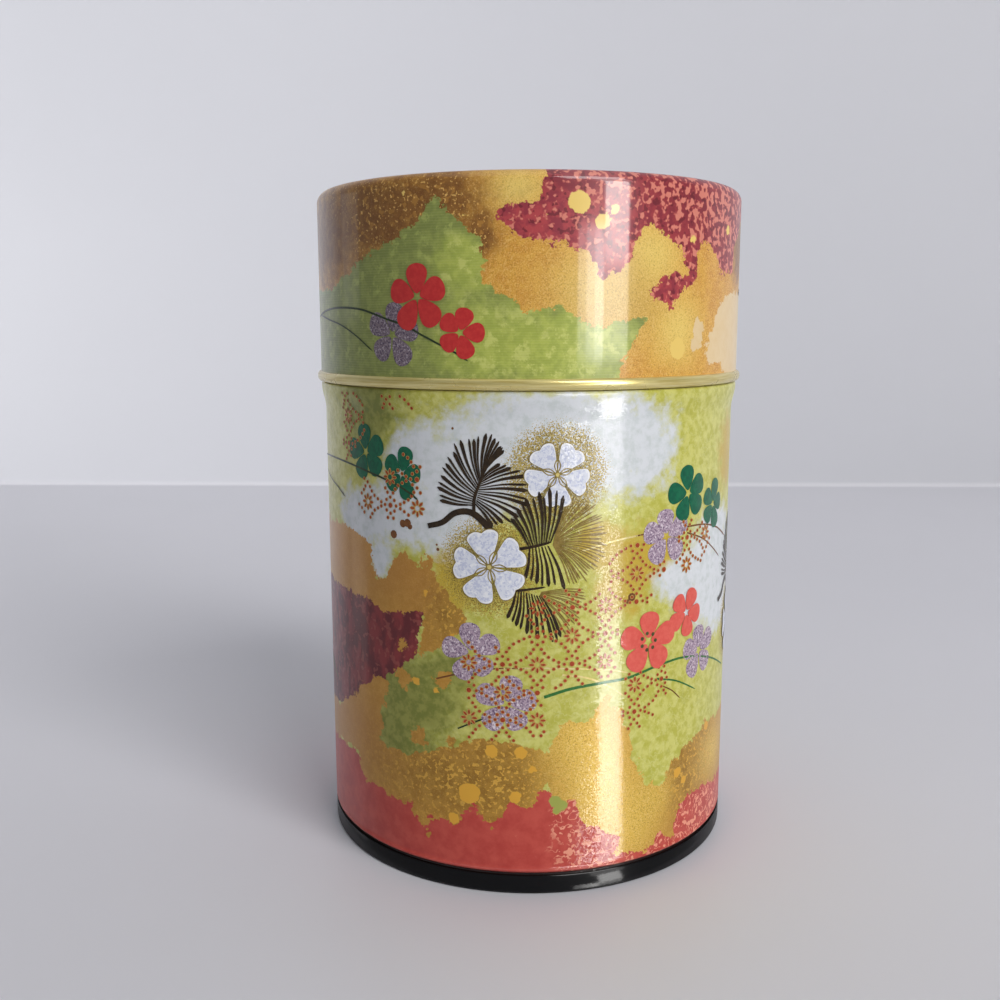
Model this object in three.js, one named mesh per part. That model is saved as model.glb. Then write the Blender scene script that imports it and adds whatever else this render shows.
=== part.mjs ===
// Round tinplate tea caddy with a slip-on lid and a lift-out inner lid.
// Millimetres, +Z up, origin at the centre of the surface that it stands on.
// Every piece is turned about +Z from a profile of [radius, height] points.

import * as THREE from 'three';

// Driving dimensions.
const HEIGHT = 122;
const LID_RADIUS = 40;
const LID_RIM_HEIGHT = 87.5;
const SHEET = 0.25;
const REST_GAP = 0.3;
const SLIP_GAP = 0.45;

// Lid: a drawn cup, with a rounded shoulder and its rim rolled outwards.
const SHOULDER_RADIUS = 2;
const BEAD_HEIGHT = 1.9;
const BEAD_PROUD = 0.7;

// Body: a tube with a bulge that the lid's rim sits on, and a mouth curled inwards.
const BODY_RADIUS = LID_RADIUS - SHEET - SLIP_GAP;
const BULGE_RADIUS = LID_RADIUS - BODY_RADIUS;
const BULGE_HEIGHT = LID_RIM_HEIGHT - BULGE_RADIUS;
const BULGE_FLARE = 4.6;
const NECK_FILLET = 0.35;
const MOUTH_HEIGHT = 119.5;
const CURL_RADIUS = 0.8;

// Bottom end: a countersunk panel whose edge folds up round the foot of the body.
const SEAM_HEIGHT = 3.4;
const SEAM_WIDTH = 1.7;
const SEAM_CORNER = 0.5;
const PANEL_HEIGHT = 3.2;
const PANEL_CORNER = 0.6;
const PANEL_STEP = 0.8;
const PANEL_STEP_RADIUS = 30;

// Inner lid: a pressed pan that hangs in the mouth, with a riveted knob.
const PAN_DEPTH = 11;
const PAN_CORNER = 1.4;
const FLANGE_RADIUS = 38.7;
const FLANGE_CORNER = 0.6;
const KNOB_RADIUS = 8;
const KNOB_HEIGHT = 8.4;
const KNOB_WAIST = 3.2;
const RIVET_RADIUS = 1.4;
const RIVET_HEAD_RADIUS = 3;
const RIVET_HEAD = 0.7;

// Facets round a full turn.
const WIDE_FACETS = 48;
const KNOB_FACETS = 28;
const RIVET_FACETS = 20;

const radians = (degrees) => (degrees * Math.PI) / 180;

// Points of an arc in the profile plane, from one angle to another in degrees.
function arc(radius, height, size, from, to, steps) {
  return Array.from({ length: steps + 1 }, (_, step) => {
    const angle = radians(from + ((to - from) * step) / steps);
    return [radius + size * Math.cos(angle), height + size * Math.sin(angle)];
  });
}

// A smooth S from one point to another that leaves and arrives along the height.
function sCurve([fromRadius, fromHeight], [toRadius, toHeight], steps) {
  return Array.from({ length: steps + 1 }, (_, step) => {
    const share = step / steps;
    const ease = (1 - Math.cos(Math.PI * share)) / 2;
    return [
      fromRadius + (toRadius - fromRadius) * ease,
      fromHeight + (toHeight - fromHeight) * share,
    ];
  });
}

// The path moved sideways to its left by the thickness, with mitred corners.
function leftOffset(path, thickness) {
  const headings = path.slice(1).map(([radius, height], index) => {
    const heading = new THREE.Vector2(radius - path[index][0], height - path[index][1]);
    return heading.normalize();
  });
  return path.map(([radius, height], index) => {
    const before = headings[Math.max(index - 1, 0)];
    const after = headings[Math.min(index, headings.length - 1)];
    const along = before.clone().add(after).normalize();
    const reach = thickness / along.dot(after);
    return [radius - along.y * reach, height + along.x * reach];
  });
}

// A sheet of even thickness whose right-hand face follows the path.
function sheetProfile(path) {
  const otherFace = leftOffset(path, SHEET).reverse();
  return [...path, ...otherFace];
}

// Solid of revolution about +Z. The profile runs anticlockwise seen with the radius to
// the right, and it closes on itself unless both of its ends lie on the axis.
function turned(profile, facets) {
  const last = profile[profile.length - 1];
  const endsOnAxis = profile[0][0] === 0 && last[0] === 0;
  const loop = endsOnAxis ? profile : [...profile, profile[0]];
  const points = loop.map(([radius, height]) => new THREE.Vector2(radius, height));
  const geometry = new THREE.LatheGeometry(points, facets);
  return geometry.rotateX(Math.PI / 2);
}

function piece(name, geometry, color, roughness, metalness) {
  const material = new THREE.MeshStandardMaterial({ color, roughness, metalness });
  const mesh = new THREE.Mesh(geometry, material);
  mesh.name = name;
  return mesh;
}

// Body tube: foot, neck-in over the seam, straight wall, bulge, neck and mouth curl.
function bodyShell() {
  const footRadius = BODY_RADIUS - SHEET - REST_GAP;
  const footHeight = SHEET + REST_GAP;
  const neckInBottom = SEAM_HEIGHT + REST_GAP / 2;
  const neckInTop = neckInBottom + 0.9;
  const reach = BULGE_RADIUS + NECK_FILLET;
  const filletRise = Math.sqrt(reach ** 2 - NECK_FILLET ** 2);
  const shoulderAngle = (Math.atan2(filletRise, NECK_FILLET) * 180) / Math.PI;
  const filletHeight = BULGE_HEIGHT + filletRise;
  const path = [
    [footRadius, footHeight],
    ...sCurve([footRadius, neckInBottom], [BODY_RADIUS, neckInTop], 4),
    ...sCurve(
      [BODY_RADIUS, BULGE_HEIGHT - BULGE_FLARE],
      [BODY_RADIUS + BULGE_RADIUS, BULGE_HEIGHT],
      6,
    ),
    ...arc(BODY_RADIUS, BULGE_HEIGHT, BULGE_RADIUS, 0, shoulderAngle, 4).slice(1),
    ...arc(BODY_RADIUS + NECK_FILLET, filletHeight, NECK_FILLET, 180 + shoulderAngle, 180, 3)
      .slice(1),
    ...arc(BODY_RADIUS - CURL_RADIUS, MOUTH_HEIGHT - CURL_RADIUS, CURL_RADIUS, 0, 270, 9),
  ];
  return piece('body_shell', turned(sheetProfile(path), WIDE_FACETS), 0xc9a54b, 0.32, 0.35);
}

// Bottom end: panel, chuck wall, flat land that it stands on, and the outer fold.
function bottomEnd() {
  const wallRadius = BODY_RADIUS - SEAM_WIDTH;
  const stepTop = PANEL_HEIGHT + PANEL_STEP;
  const path = [
    [0, stepTop],
    [PANEL_STEP_RADIUS - PANEL_STEP, stepTop],
    [PANEL_STEP_RADIUS, PANEL_HEIGHT],
    ...arc(wallRadius - PANEL_CORNER, PANEL_HEIGHT - PANEL_CORNER, PANEL_CORNER, 90, 0, 3),
    ...arc(wallRadius + SEAM_CORNER, SEAM_CORNER, SEAM_CORNER, 180, 270, 3),
    ...arc(BODY_RADIUS - SEAM_CORNER, SEAM_CORNER, SEAM_CORNER, 270, 360, 3),
    [BODY_RADIUS, SEAM_HEIGHT],
  ];
  return piece('bottom_end', turned(sheetProfile(path), WIDE_FACETS), 0x101012, 0.22, 0.1);
}

// Lid: flat top, rounded shoulder, straight wall and the rolled bead at its rim.
function lidShell() {
  const innerRadius = LID_RADIUS - SHEET;
  const beadMiddle = LID_RIM_HEIGHT + BEAD_HEIGHT / 2;
  const shoulderRadius = LID_RADIUS - SHOULDER_RADIUS;
  const shoulderHeight = HEIGHT - SHOULDER_RADIUS;
  const bead = arc(0, 0, 1, -90, 90, 8).map(([across, up]) => [
    LID_RADIUS + BEAD_PROUD * across,
    beadMiddle + (BEAD_HEIGHT / 2) * up,
  ]);
  const profile = [
    [0, HEIGHT - SHEET],
    ...arc(shoulderRadius, shoulderHeight, SHOULDER_RADIUS - SHEET, 90, 0, 5),
    [innerRadius, LID_RIM_HEIGHT + SHEET],
    ...bead,
    ...arc(shoulderRadius, shoulderHeight, SHOULDER_RADIUS, 0, 90, 5),
    [0, HEIGHT],
  ];
  return piece('lid_shell', turned(profile, WIDE_FACETS), 0xb98a3a, 0.32, 0.35);
}

// Heights of the inner lid's pan floor, used by the knob and the rivet as well.
const FLANGE_UNDERSIDE = MOUTH_HEIGHT + REST_GAP;
const PAN_UNDERSIDE = FLANGE_UNDERSIDE - PAN_DEPTH;
const PAN_FLOOR = PAN_UNDERSIDE + SHEET;
const KNOB_FOOT = PAN_FLOOR + REST_GAP;
const KNOB_TOP = KNOB_FOOT + KNOB_HEIGHT;

// Inner lid pan: floor with a rivet hole, skirt inside the mouth and resting flange.
function innerLidPan() {
  const skirtRadius = BODY_RADIUS - 2 * CURL_RADIUS - REST_GAP;
  const path = [
    [RIVET_RADIUS + REST_GAP, PAN_UNDERSIDE],
    ...arc(skirtRadius - PAN_CORNER, PAN_UNDERSIDE + PAN_CORNER, PAN_CORNER, 270, 360, 4),
    ...arc(skirtRadius + FLANGE_CORNER, FLANGE_UNDERSIDE - FLANGE_CORNER, FLANGE_CORNER,
      180, 90, 3),
    [FLANGE_RADIUS, FLANGE_UNDERSIDE],
  ];
  const geometry = turned(sheetProfile(path), WIDE_FACETS);
  return piece('inner_lid_pan', geometry, 0xc8c8c4, 0.28, 1);
}

// Knob: a turned button with a narrow waist, drilled and counterbored for its rivet.
function innerLidKnob() {
  const boreRadius = RIVET_RADIUS + REST_GAP;
  const counterboreRadius = RIVET_HEAD_RADIUS + REST_GAP;
  const counterboreFloor = KNOB_TOP - RIVET_HEAD - REST_GAP;
  const headEdge = 1.2;
  const headUnderside = KNOB_TOP - 2 * headEdge;
  const profile = [
    [boreRadius, KNOB_FOOT],
    [KNOB_WAIST + 1, KNOB_FOOT],
    ...sCurve([KNOB_WAIST + 1, KNOB_FOOT + 0.4], [KNOB_WAIST, KNOB_FOOT + 2.6], 3),
    [KNOB_WAIST + 0.8, headUnderside - 0.9],
    ...arc(KNOB_RADIUS - headEdge, KNOB_TOP - headEdge, headEdge, -90, 90, 6),
    [counterboreRadius, KNOB_TOP],
    [counterboreRadius, counterboreFloor],
    [boreRadius, counterboreFloor],
  ];
  return piece('inner_lid_knob', turned(profile, KNOB_FACETS), 0xb9bbbd, 0.3, 1);
}

// Rivet: head in the knob's counterbore, shank, and the end spread under the pan.
function innerLidRivet() {
  const headUnderside = KNOB_TOP - RIVET_HEAD;
  const spreadTop = PAN_UNDERSIDE - REST_GAP;
  const spreadRadius = RIVET_RADIUS + 1.2;
  const profile = [
    [0, spreadTop - 0.9],
    [spreadRadius - 0.5, spreadTop - 0.8],
    [spreadRadius, spreadTop - 0.3],
    [spreadRadius, spreadTop],
    [RIVET_RADIUS, spreadTop],
    [RIVET_RADIUS, headUnderside],
    [RIVET_HEAD_RADIUS, headUnderside],
    ...arc(RIVET_HEAD_RADIUS - 0.4, KNOB_TOP - 0.4, 0.4, 0, 90, 2),
    [0, KNOB_TOP],
  ];
  return piece('inner_lid_rivet', turned(profile, RIVET_FACETS), 0xa9abad, 0.35, 1);
}

const caddy = new THREE.Group();
const tin = new THREE.Group();
tin.add(bodyShell(), bottomEnd());
const innerLid = new THREE.Group();
innerLid.add(innerLidPan(), innerLidKnob(), innerLidRivet());
caddy.add(tin, innerLid, lidShell());

export default caddy;
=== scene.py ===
"""Printed tinplate tea caddy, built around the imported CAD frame.

Lengths are millimetres until a mesh is made. A print is drawn unrolled: a point on it is
(along, up), along the wall to the right of the front and up from the foot.
"""
import math
import random

import bpy
import numpy as np
from mathutils import Matrix, Vector
from mathutils.geometry import delaunay_2d_cdt


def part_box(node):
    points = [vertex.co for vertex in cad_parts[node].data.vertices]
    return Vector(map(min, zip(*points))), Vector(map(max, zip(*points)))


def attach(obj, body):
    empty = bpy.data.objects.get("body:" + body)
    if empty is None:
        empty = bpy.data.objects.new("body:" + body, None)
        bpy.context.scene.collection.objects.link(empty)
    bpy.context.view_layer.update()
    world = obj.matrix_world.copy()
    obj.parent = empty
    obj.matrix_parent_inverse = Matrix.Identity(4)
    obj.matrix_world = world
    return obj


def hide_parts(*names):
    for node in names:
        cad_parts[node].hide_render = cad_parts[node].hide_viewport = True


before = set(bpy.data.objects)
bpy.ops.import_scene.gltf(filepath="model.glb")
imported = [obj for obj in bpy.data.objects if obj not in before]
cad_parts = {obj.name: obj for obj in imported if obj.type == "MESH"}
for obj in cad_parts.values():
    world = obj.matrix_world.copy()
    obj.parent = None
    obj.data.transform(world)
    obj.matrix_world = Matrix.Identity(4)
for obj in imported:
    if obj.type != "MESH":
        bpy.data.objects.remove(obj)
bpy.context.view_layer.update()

MM = 0.001
TURN = 2 * math.pi

# ---------------------------------------------------------------- sizes from the frame

lid_low, lid_high = (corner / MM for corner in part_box("lid_shell"))
body_low, body_high = (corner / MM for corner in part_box("body_shell"))
seam_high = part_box("bottom_end")[1] / MM
pan_low, pan_high = (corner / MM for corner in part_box("inner_lid_pan"))
knob_low, knob_high = (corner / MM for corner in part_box("inner_lid_knob"))
rivet_low, rivet_high = (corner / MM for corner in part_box("inner_lid_rivet"))

HEIGHT = lid_high.z
RIM_HEIGHT = lid_low.z
LID_RADIUS = body_high.x
BEAD_PROUD = lid_high.x - LID_RADIUS
BODY_RADIUS = seam_high.x
MOUTH_HEIGHT = body_high.z
FOOT_HEIGHT = body_low.z

SHEET = 0.25
REST_GAP = 0.3
BEAD_HEIGHT = 1.9
SHOULDER = 2.0
SEAM_HEIGHT = 3.4
NECK_IN_BOTTOM = SEAM_HEIGHT + REST_GAP / 2
NECK_IN_TOP = NECK_IN_BOTTOM + 0.9
FOOT_RADIUS = BODY_RADIUS - SHEET - REST_GAP
FILM_FOOT = SEAM_HEIGHT - 0.6
BULGE = LID_RADIUS - BODY_RADIUS
BULGE_HEIGHT = RIM_HEIGHT - BULGE
BULGE_FLARE = 4.6
NECK_FILLET = 0.35
CURL = 0.8
FILM = 0.02
LAP = 0.16
LAP_WIDTH = 4.0
LAP_EDGE = 0.9

SEGMENTS = 288
SHARP = math.radians(35)
LEAN = 19
LEAN_SPREAD = 0.45
SIDE_SPREAD = 0.13
GRIT_SCALE = 3.4
COAT_IOR = 2.0

# ---------------------------------------------------------------- profiles and turned pieces


def arc(radius, height, size, start, end, steps):
    """Points of an arc in the profile plane, between two angles in degrees."""
    angles = [math.radians(start + (end - start) * step / steps) for step in range(steps + 1)]
    return [(radius + size * math.cos(a), height + size * math.sin(a)) for a in angles]


def s_curve(start, end, steps):
    """A smooth S between two profile points that leaves and arrives along the height."""
    shares = [step / steps for step in range(steps + 1)]
    eased = [(1 - math.cos(math.pi * share)) / 2 for share in shares]
    return [
        (start[0] + (end[0] - start[0]) * ease, start[1] + (end[1] - start[1]) * share)
        for ease, share in zip(eased, shares)
    ]


def left_offset(path, thickness):
    """The path moved to its left by the thickness, with mitred corners."""
    points = [Vector(point) for point in path]
    headings = [(b - a).normalized() for a, b in zip(points, points[1:])]
    moved = []
    for index, point in enumerate(points):
        before = headings[max(index - 1, 0)]
        after = headings[min(index, len(headings) - 1)]
        along = (before + after).normalized()
        reach = thickness / along.dot(after)
        moved.append((point.x - along.y * reach, point.y + along.x * reach))
    return moved


def sheet_profile(path):
    """A sheet of even thickness whose right-hand face follows the path."""
    return list(path) + left_offset(path, SHEET)[::-1]


def link_mesh(name, vertices, faces, material):
    """A smooth-shaded object from vertices in millimetres."""
    mesh = bpy.data.meshes.new(name)
    mesh.from_pydata([tuple(c * MM for c in vertex) for vertex in vertices], [], faces)
    mesh.polygons.foreach_set("use_smooth", [True] * len(mesh.polygons))
    mesh.materials.append(material)
    mesh.update()
    piece = bpy.data.objects.new(name, mesh)
    bpy.context.scene.collection.objects.link(piece)
    return piece


def on_circle(radius, angle, height):
    """A point round the axis. Angle 0 is the front, and it grows to the right."""
    return (radius * math.sin(angle), -radius * math.cos(angle), height)


def pointing(angle):
    """A unit vector at an angle in radians."""
    return Vector((math.cos(angle), math.sin(angle)))


def ring_faces(low, high):
    """Faces between two rings of vertices. They are triangles where a ring is one point."""
    count = len(low)
    faces = []
    for step in range(count):
        after = (step + 1) % count
        corners = (low[step], low[after], high[after], high[step])
        faces.append(tuple(dict.fromkeys(corners)))
    return faces


def profile_corners(profile, closed):
    """The profile points where it turns sharply."""
    corners = set()
    count = len(profile)
    for index in range(count):
        if not closed and index in (0, count - 1):
            continue
        here = Vector(profile[index])
        before = here - Vector(profile[index - 1])
        after = Vector(profile[(index + 1) % count]) - here
        if before.angle(after, 0.0) > SHARP:
            corners.add(index)
    return corners


def turned(name, profile, material, segments=SEGMENTS):
    """A solid of revolution. The profile closes on itself unless both ends lie on the axis."""
    closed = not (profile[0][0] == 0 and profile[-1][0] == 0)
    vertices = []
    rings = []
    for radius, height in profile:
        if radius == 0:
            rings.append([len(vertices)] * segments)
            vertices.append((0.0, 0.0, height))
            continue
        rings.append(list(range(len(vertices), len(vertices) + segments)))
        vertices += [on_circle(radius, TURN * step / segments, height) for step in range(segments)]
    pairs = list(zip(rings, rings[1:]))
    if closed:
        pairs.append((rings[-1], rings[0]))
    faces = [face for low, high in pairs for face in ring_faces(low, high)]
    piece = link_mesh(name, vertices, faces, material)
    mark_sharp_rings(piece, [rings[index] for index in profile_corners(profile, closed)])
    return piece


def mark_sharp_rings(piece, rings):
    """Makes the edges along these rings of vertices sharp."""
    ring_of = {vertex: number for number, ring in enumerate(rings) for vertex in ring}
    sharp = [
        ring_of.get(edge.vertices[0], -1) == ring_of.get(edge.vertices[1], -2)
        for edge in piece.data.edges
    ]
    attribute = piece.data.attributes.new("sharp_edge", "BOOLEAN", "EDGE")
    attribute.data.foreach_set("value", sharp)


# ---------------------------------------------------------------- shader building


def ink(code):
    """A linear colour from a #rrggbb code."""
    parts = [int(code[place:place + 2], 16) / 255 for place in (1, 3, 5)]
    linear = [p / 12.92 if p <= 0.04045 else ((p + 0.055) / 1.055) ** 2.4 for p in parts]
    return (*linear, 1.0)


class Shader:
    """One material and short calls that add nodes to it. Its scales are in cycles per mm."""

    def __init__(self, name):
        self.material = bpy.data.materials.new(name)
        self.material.use_nodes = True
        self.tree = self.material.node_tree
        self.tree.nodes.clear()
        output = self.tree.nodes.new("ShaderNodeOutputMaterial")
        self.surface = self.tree.nodes.new("ShaderNodeBsdfPrincipled")
        self.tree.links.new(self.surface.outputs[0], output.inputs["Surface"])
        place = self.tree.nodes.new("ShaderNodeTexCoord")
        self.coords = self.vector("SCALE", place.outputs["Object"], 1 / MM)

    def put(self, socket, value):
        if isinstance(value, bpy.types.NodeSocket):
            self.tree.links.new(value, socket)
        elif isinstance(value, str):
            socket.default_value = ink(value)
        else:
            socket.default_value = value

    def vector(self, operation, a, b):
        node = self.tree.nodes.new("ShaderNodeVectorMath")
        node.operation = operation
        self.put(node.inputs[0], a)
        self.put(node.inputs["Scale"] if operation == "SCALE" else node.inputs[1], b)
        return node.outputs["Vector"]

    def math(self, operation, a, b=0.0, clamp=False):
        node = self.tree.nodes.new("ShaderNodeMath")
        node.operation = operation
        node.use_clamp = clamp
        self.put(node.inputs[0], a)
        self.put(node.inputs[1], b)
        return node.outputs[0]

    def add(self, a, b):
        return self.math("ADD", a, b)

    def times(self, a, b):
        return self.math("MULTIPLY", a, b)

    def less(self, a, b):
        return self.math("SUBTRACT", a, b)

    def fade(self, value, low, high):
        """0 below low, 1 above high and smooth between them."""
        node = self.tree.nodes.new("ShaderNodeMapRange")
        node.interpolation_type = "SMOOTHSTEP"
        for socket, number in zip(node.inputs[:3], (value, low, high)):
            self.put(socket, number)
        return node.outputs[0]

    def mix(self, share, a, b):
        node = self.tree.nodes.new("ShaderNodeMix")
        node.data_type = "RGBA"
        for place, value in ((0, share), (6, a), (7, b)):
            self.put(node.inputs[place], value)
        return node.outputs[2]

    def tones(self, value, low, high, a, b):
        """Colour a where the value is low, turning to b where it is high."""
        return self.mix(self.fade(value, low, high), a, b)

    def blend(self, share, a, b):
        """A number between a and b."""
        node = self.tree.nodes.new("ShaderNodeMix")
        for place, value in ((0, share), (2, a), (3, b)):
            self.put(node.inputs[place], value)
        return node.outputs[0]

    def noise(self, scale, detail=2.0, rough=0.5, stretch=None, shift=0.0):
        node = self.tree.nodes.new("ShaderNodeTexNoise")
        coords = self.coords
        if stretch is not None:
            coords = self.vector("MULTIPLY", coords, stretch)
        if shift:
            coords = self.vector("ADD", coords, (shift, shift, shift))
        self.put(node.inputs["Vector"], coords)
        self.put(node.inputs["Scale"], scale)
        self.put(node.inputs["Detail"], detail)
        self.put(node.inputs["Roughness"], rough)
        return node.outputs[0]

    def swing(self, scale, detail, rough, shift=0.0):
        """Noise about zero."""
        return self.less(self.noise(scale, detail, rough, shift=shift), 0.5)

    def cells(self, scale, shift=0.0):
        """Distance from scattered cell centres, in cell widths, and a random number per cell."""
        node = self.tree.nodes.new("ShaderNodeTexVoronoi")
        coords = self.vector("ADD", self.coords, (shift, shift, shift)) if shift else self.coords
        self.put(node.inputs["Vector"], coords)
        self.put(node.inputs["Scale"], scale)
        return node.outputs["Distance"], node.outputs["Color"]

    def field(self, name):
        node = self.tree.nodes.new("ShaderNodeAttribute")
        node.attribute_name = name
        return node.outputs["Fac"]

    def bump(self, height, depth):
        """Bumps of the given depth in millimetres."""
        node = self.tree.nodes.new("ShaderNodeBump")
        self.put(node.inputs["Distance"], depth * MM)
        self.put(node.inputs["Height"], height)
        self.put(self.surface.inputs["Normal"], node.outputs[0])

    def rolled(self, amount):
        """Rolled sheet: highlights stretch up and down, across the rolling lines."""
        node = self.tree.nodes.new("ShaderNodeTangent")
        node.direction_type = "RADIAL"
        node.axis = "Z"
        self.put(self.surface.inputs["Tangent"], node.outputs[0])
        self.surface.inputs["Anisotropic"].default_value = amount
        self.surface.inputs["Anisotropic Rotation"].default_value = 0.25

    def lean(self, tilt, spread, side_spread):
        """Varnish in fine grainy ridges that lean upward, so it mirrors what is higher up."""
        grit = self.tree.nodes.new("ShaderNodeTexNoise")
        self.put(grit.inputs["Vector"], self.coords)
        self.put(grit.inputs["Scale"], GRIT_SCALE)
        ripple = self.vector("SUBTRACT", grit.outputs["Color"], (0.5, 0.5, 0.5))
        ripple = self.vector("MULTIPLY", ripple, (side_spread, side_spread, spread))
        rise = self.vector("ADD", ripple, (0, 0, math.tan(math.radians(tilt))))
        wall = self.tree.nodes.new("ShaderNodeNewGeometry")
        leaning = self.vector("ADD", wall.outputs["Normal"], rise)
        self.put(self.surface.inputs["Coat Normal"], self.vector("NORMALIZE", leaning, (0, 0, 0)))

    def finish(self, color, metallic, roughness, coat=0.0, coat_roughness=0.05, gloss=0.5):
        self.surface.inputs["Specular IOR Level"].default_value = gloss
        self.put(self.surface.inputs["Base Color"], color)
        self.put(self.surface.inputs["Metallic"], metallic)
        self.put(self.surface.inputs["Roughness"], roughness)
        self.surface.inputs["Coat Weight"].default_value = coat
        self.surface.inputs["Coat Roughness"].default_value = coat_roughness
        self.surface.inputs["Coat IOR"].default_value = COAT_IOR
        return self.material


# ---------------------------------------------------------------- metal materials


def gold_lacquer():
    shader = Shader("gold_lacquer")
    drawn = shader.noise(1.0, 3, stretch=(0.15, 0.15, 4.0))
    cloud = shader.noise(0.12, 3)
    color = shader.mix(cloud, "#dfcf88", "#e8dc9c")
    color = shader.tones(drawn, 0.35, 0.75, color, "#ccb766")
    shader.bump(drawn, 0.006)
    return shader.finish(color, 0.5, shader.blend(cloud, 0.24, 0.32), coat=0.35, gloss=0.3)


def black_lacquer():
    shader = Shader("black_lacquer")
    cloud = shader.noise(0.2, 3)
    orange_peel = shader.noise(1.3, 2)
    scuffs = shader.fade(shader.noise(2.2, 4, shift=7.0), 0.62, 0.78)
    color = shader.mix(cloud, "#08080a", "#0e0f12")
    color = shader.mix(shader.times(scuffs, 0.2), color, "#2c2d31")
    shader.bump(orange_peel, 0.004)
    shader.rolled(0.9)
    roughness = shader.blend(scuffs, 0.4, 0.46)
    shader.lean(LEAN, 0.1, 0.02)
    return shader.finish(color, 0.0, roughness, coat=0.2, coat_roughness=0.09, gloss=0.1)


def bright_tinplate():
    shader = Shader("bright_tinplate")
    rolled = shader.noise(1.4, 3, stretch=(0.06, 3.0, 3.0))
    crystals = shader.cells(0.16)[1]
    color = shader.mix(rolled, "#b9bab8", "#d3d4d2")
    color = shader.mix(shader.times(crystals, 0.15), color, "#9fa2a3")
    shader.bump(rolled, 0.004)
    return shader.finish(color, 1.0, shader.blend(rolled, 0.2, 0.32))


def turned_aluminium():
    shader = Shader("turned_aluminium")
    node = shader.tree.nodes.new("ShaderNodeTexWave")
    node.wave_type = "RINGS"
    node.rings_direction = "Z"
    shader.put(node.inputs["Vector"], shader.coords)
    shader.put(node.inputs["Scale"], 1.6)
    shader.put(node.inputs["Distortion"], 0.4)
    lathe_lines = node.outputs["Fac"]
    smudge = shader.noise(0.4, 3)
    color = shader.mix(lathe_lines, "#b4b6b9", "#cdcfd1")
    color = shader.mix(shader.times(smudge, 0.3), color, "#9b9da0")
    shader.bump(lathe_lines, 0.006)
    return shader.finish(color, 1.0, shader.blend(smudge, 0.24, 0.4))


def rivet_steel():
    shader = Shader("rivet_steel")
    marks = shader.noise(2.0, 4)
    shader.bump(marks, 0.02)
    color = shader.mix(marks, "#8d8f91", "#b1b3b4")
    return shader.finish(color, 1.0, shader.blend(marks, 0.3, 0.48))


# ---------------------------------------------------------------- the unrolled print


def smooth_line(points, steps=6, closed=False):
    """A Catmull-Rom curve through the points."""
    line = [Vector(point) for point in points]
    if closed:
        ends = [line[-1], *line, line[0], line[1]]
    else:
        ends = [2 * line[0] - line[1], *line, 2 * line[-1] - line[-2]]
    curve = []
    for a, b, c, d in zip(ends, ends[1:], ends[2:], ends[3:]):
        for step in range(steps):
            t = step / steps
            curve.append(0.5 * (2 * b + (c - a) * t + (2 * a - 5 * b + 4 * c - d) * t * t
                                + (3 * b - a - 3 * c + d) * t ** 3))
    if not closed:
        curve.append(line[-1])
    return curve


def inside(point, outline):
    """Whether the point is inside the closed outline."""
    crossings = 0
    for a, b in zip(outline, outline[1:] + outline[:1]):
        if (a[1] > point[1]) != (b[1] > point[1]):
            reach = a[0] + (point[1] - a[1]) * (b[0] - a[0]) / (b[1] - a[1])
            crossings += point[0] < reach
    return crossings % 2 == 1


class Wall:
    """A printed wall round the axis, from a table of up, radius and height.

    Its sheet may overlap itself at the back, where it stands out by the lap.
    """

    def __init__(self, radius, table, lap=0.0):
        self.radius = radius
        self.ups, self.radii, self.heights = (np.array(row) for row in zip(*table))
        outward, rise = np.gradient(self.radii), np.gradient(self.heights)
        self.facing_out = rise / np.hypot(outward, rise)
        self.facing_up = -outward / np.hypot(outward, rise)
        back = math.pi * radius
        lap_start = back - LAP_WIDTH
        self.lap_places = [-back, LAP_WIDTH / 2 - back, lap_start - LAP_EDGE, lap_start]
        self.lap_lifts = [lap, 0.0, 0.0, lap]

    def place(self, along, up, lift):
        """The point of the wall at (along, up), lifted off its face."""
        back = math.pi * self.radius
        lift += np.interp((along + back) % (2 * back) - back, self.lap_places, self.lap_lifts)
        outward = lift * np.interp(up, self.ups, self.facing_out)
        upward = lift * np.interp(up, self.ups, self.facing_up)
        radius = np.interp(up, self.ups, self.radii) + outward
        height = np.interp(up, self.ups, self.heights) + upward
        return on_circle(float(radius), along / self.radius, float(height))

    def normal(self, along):
        """The wall's outward direction, which is level."""
        return Vector(on_circle(1.0, along / self.radius, 0.0))


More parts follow.
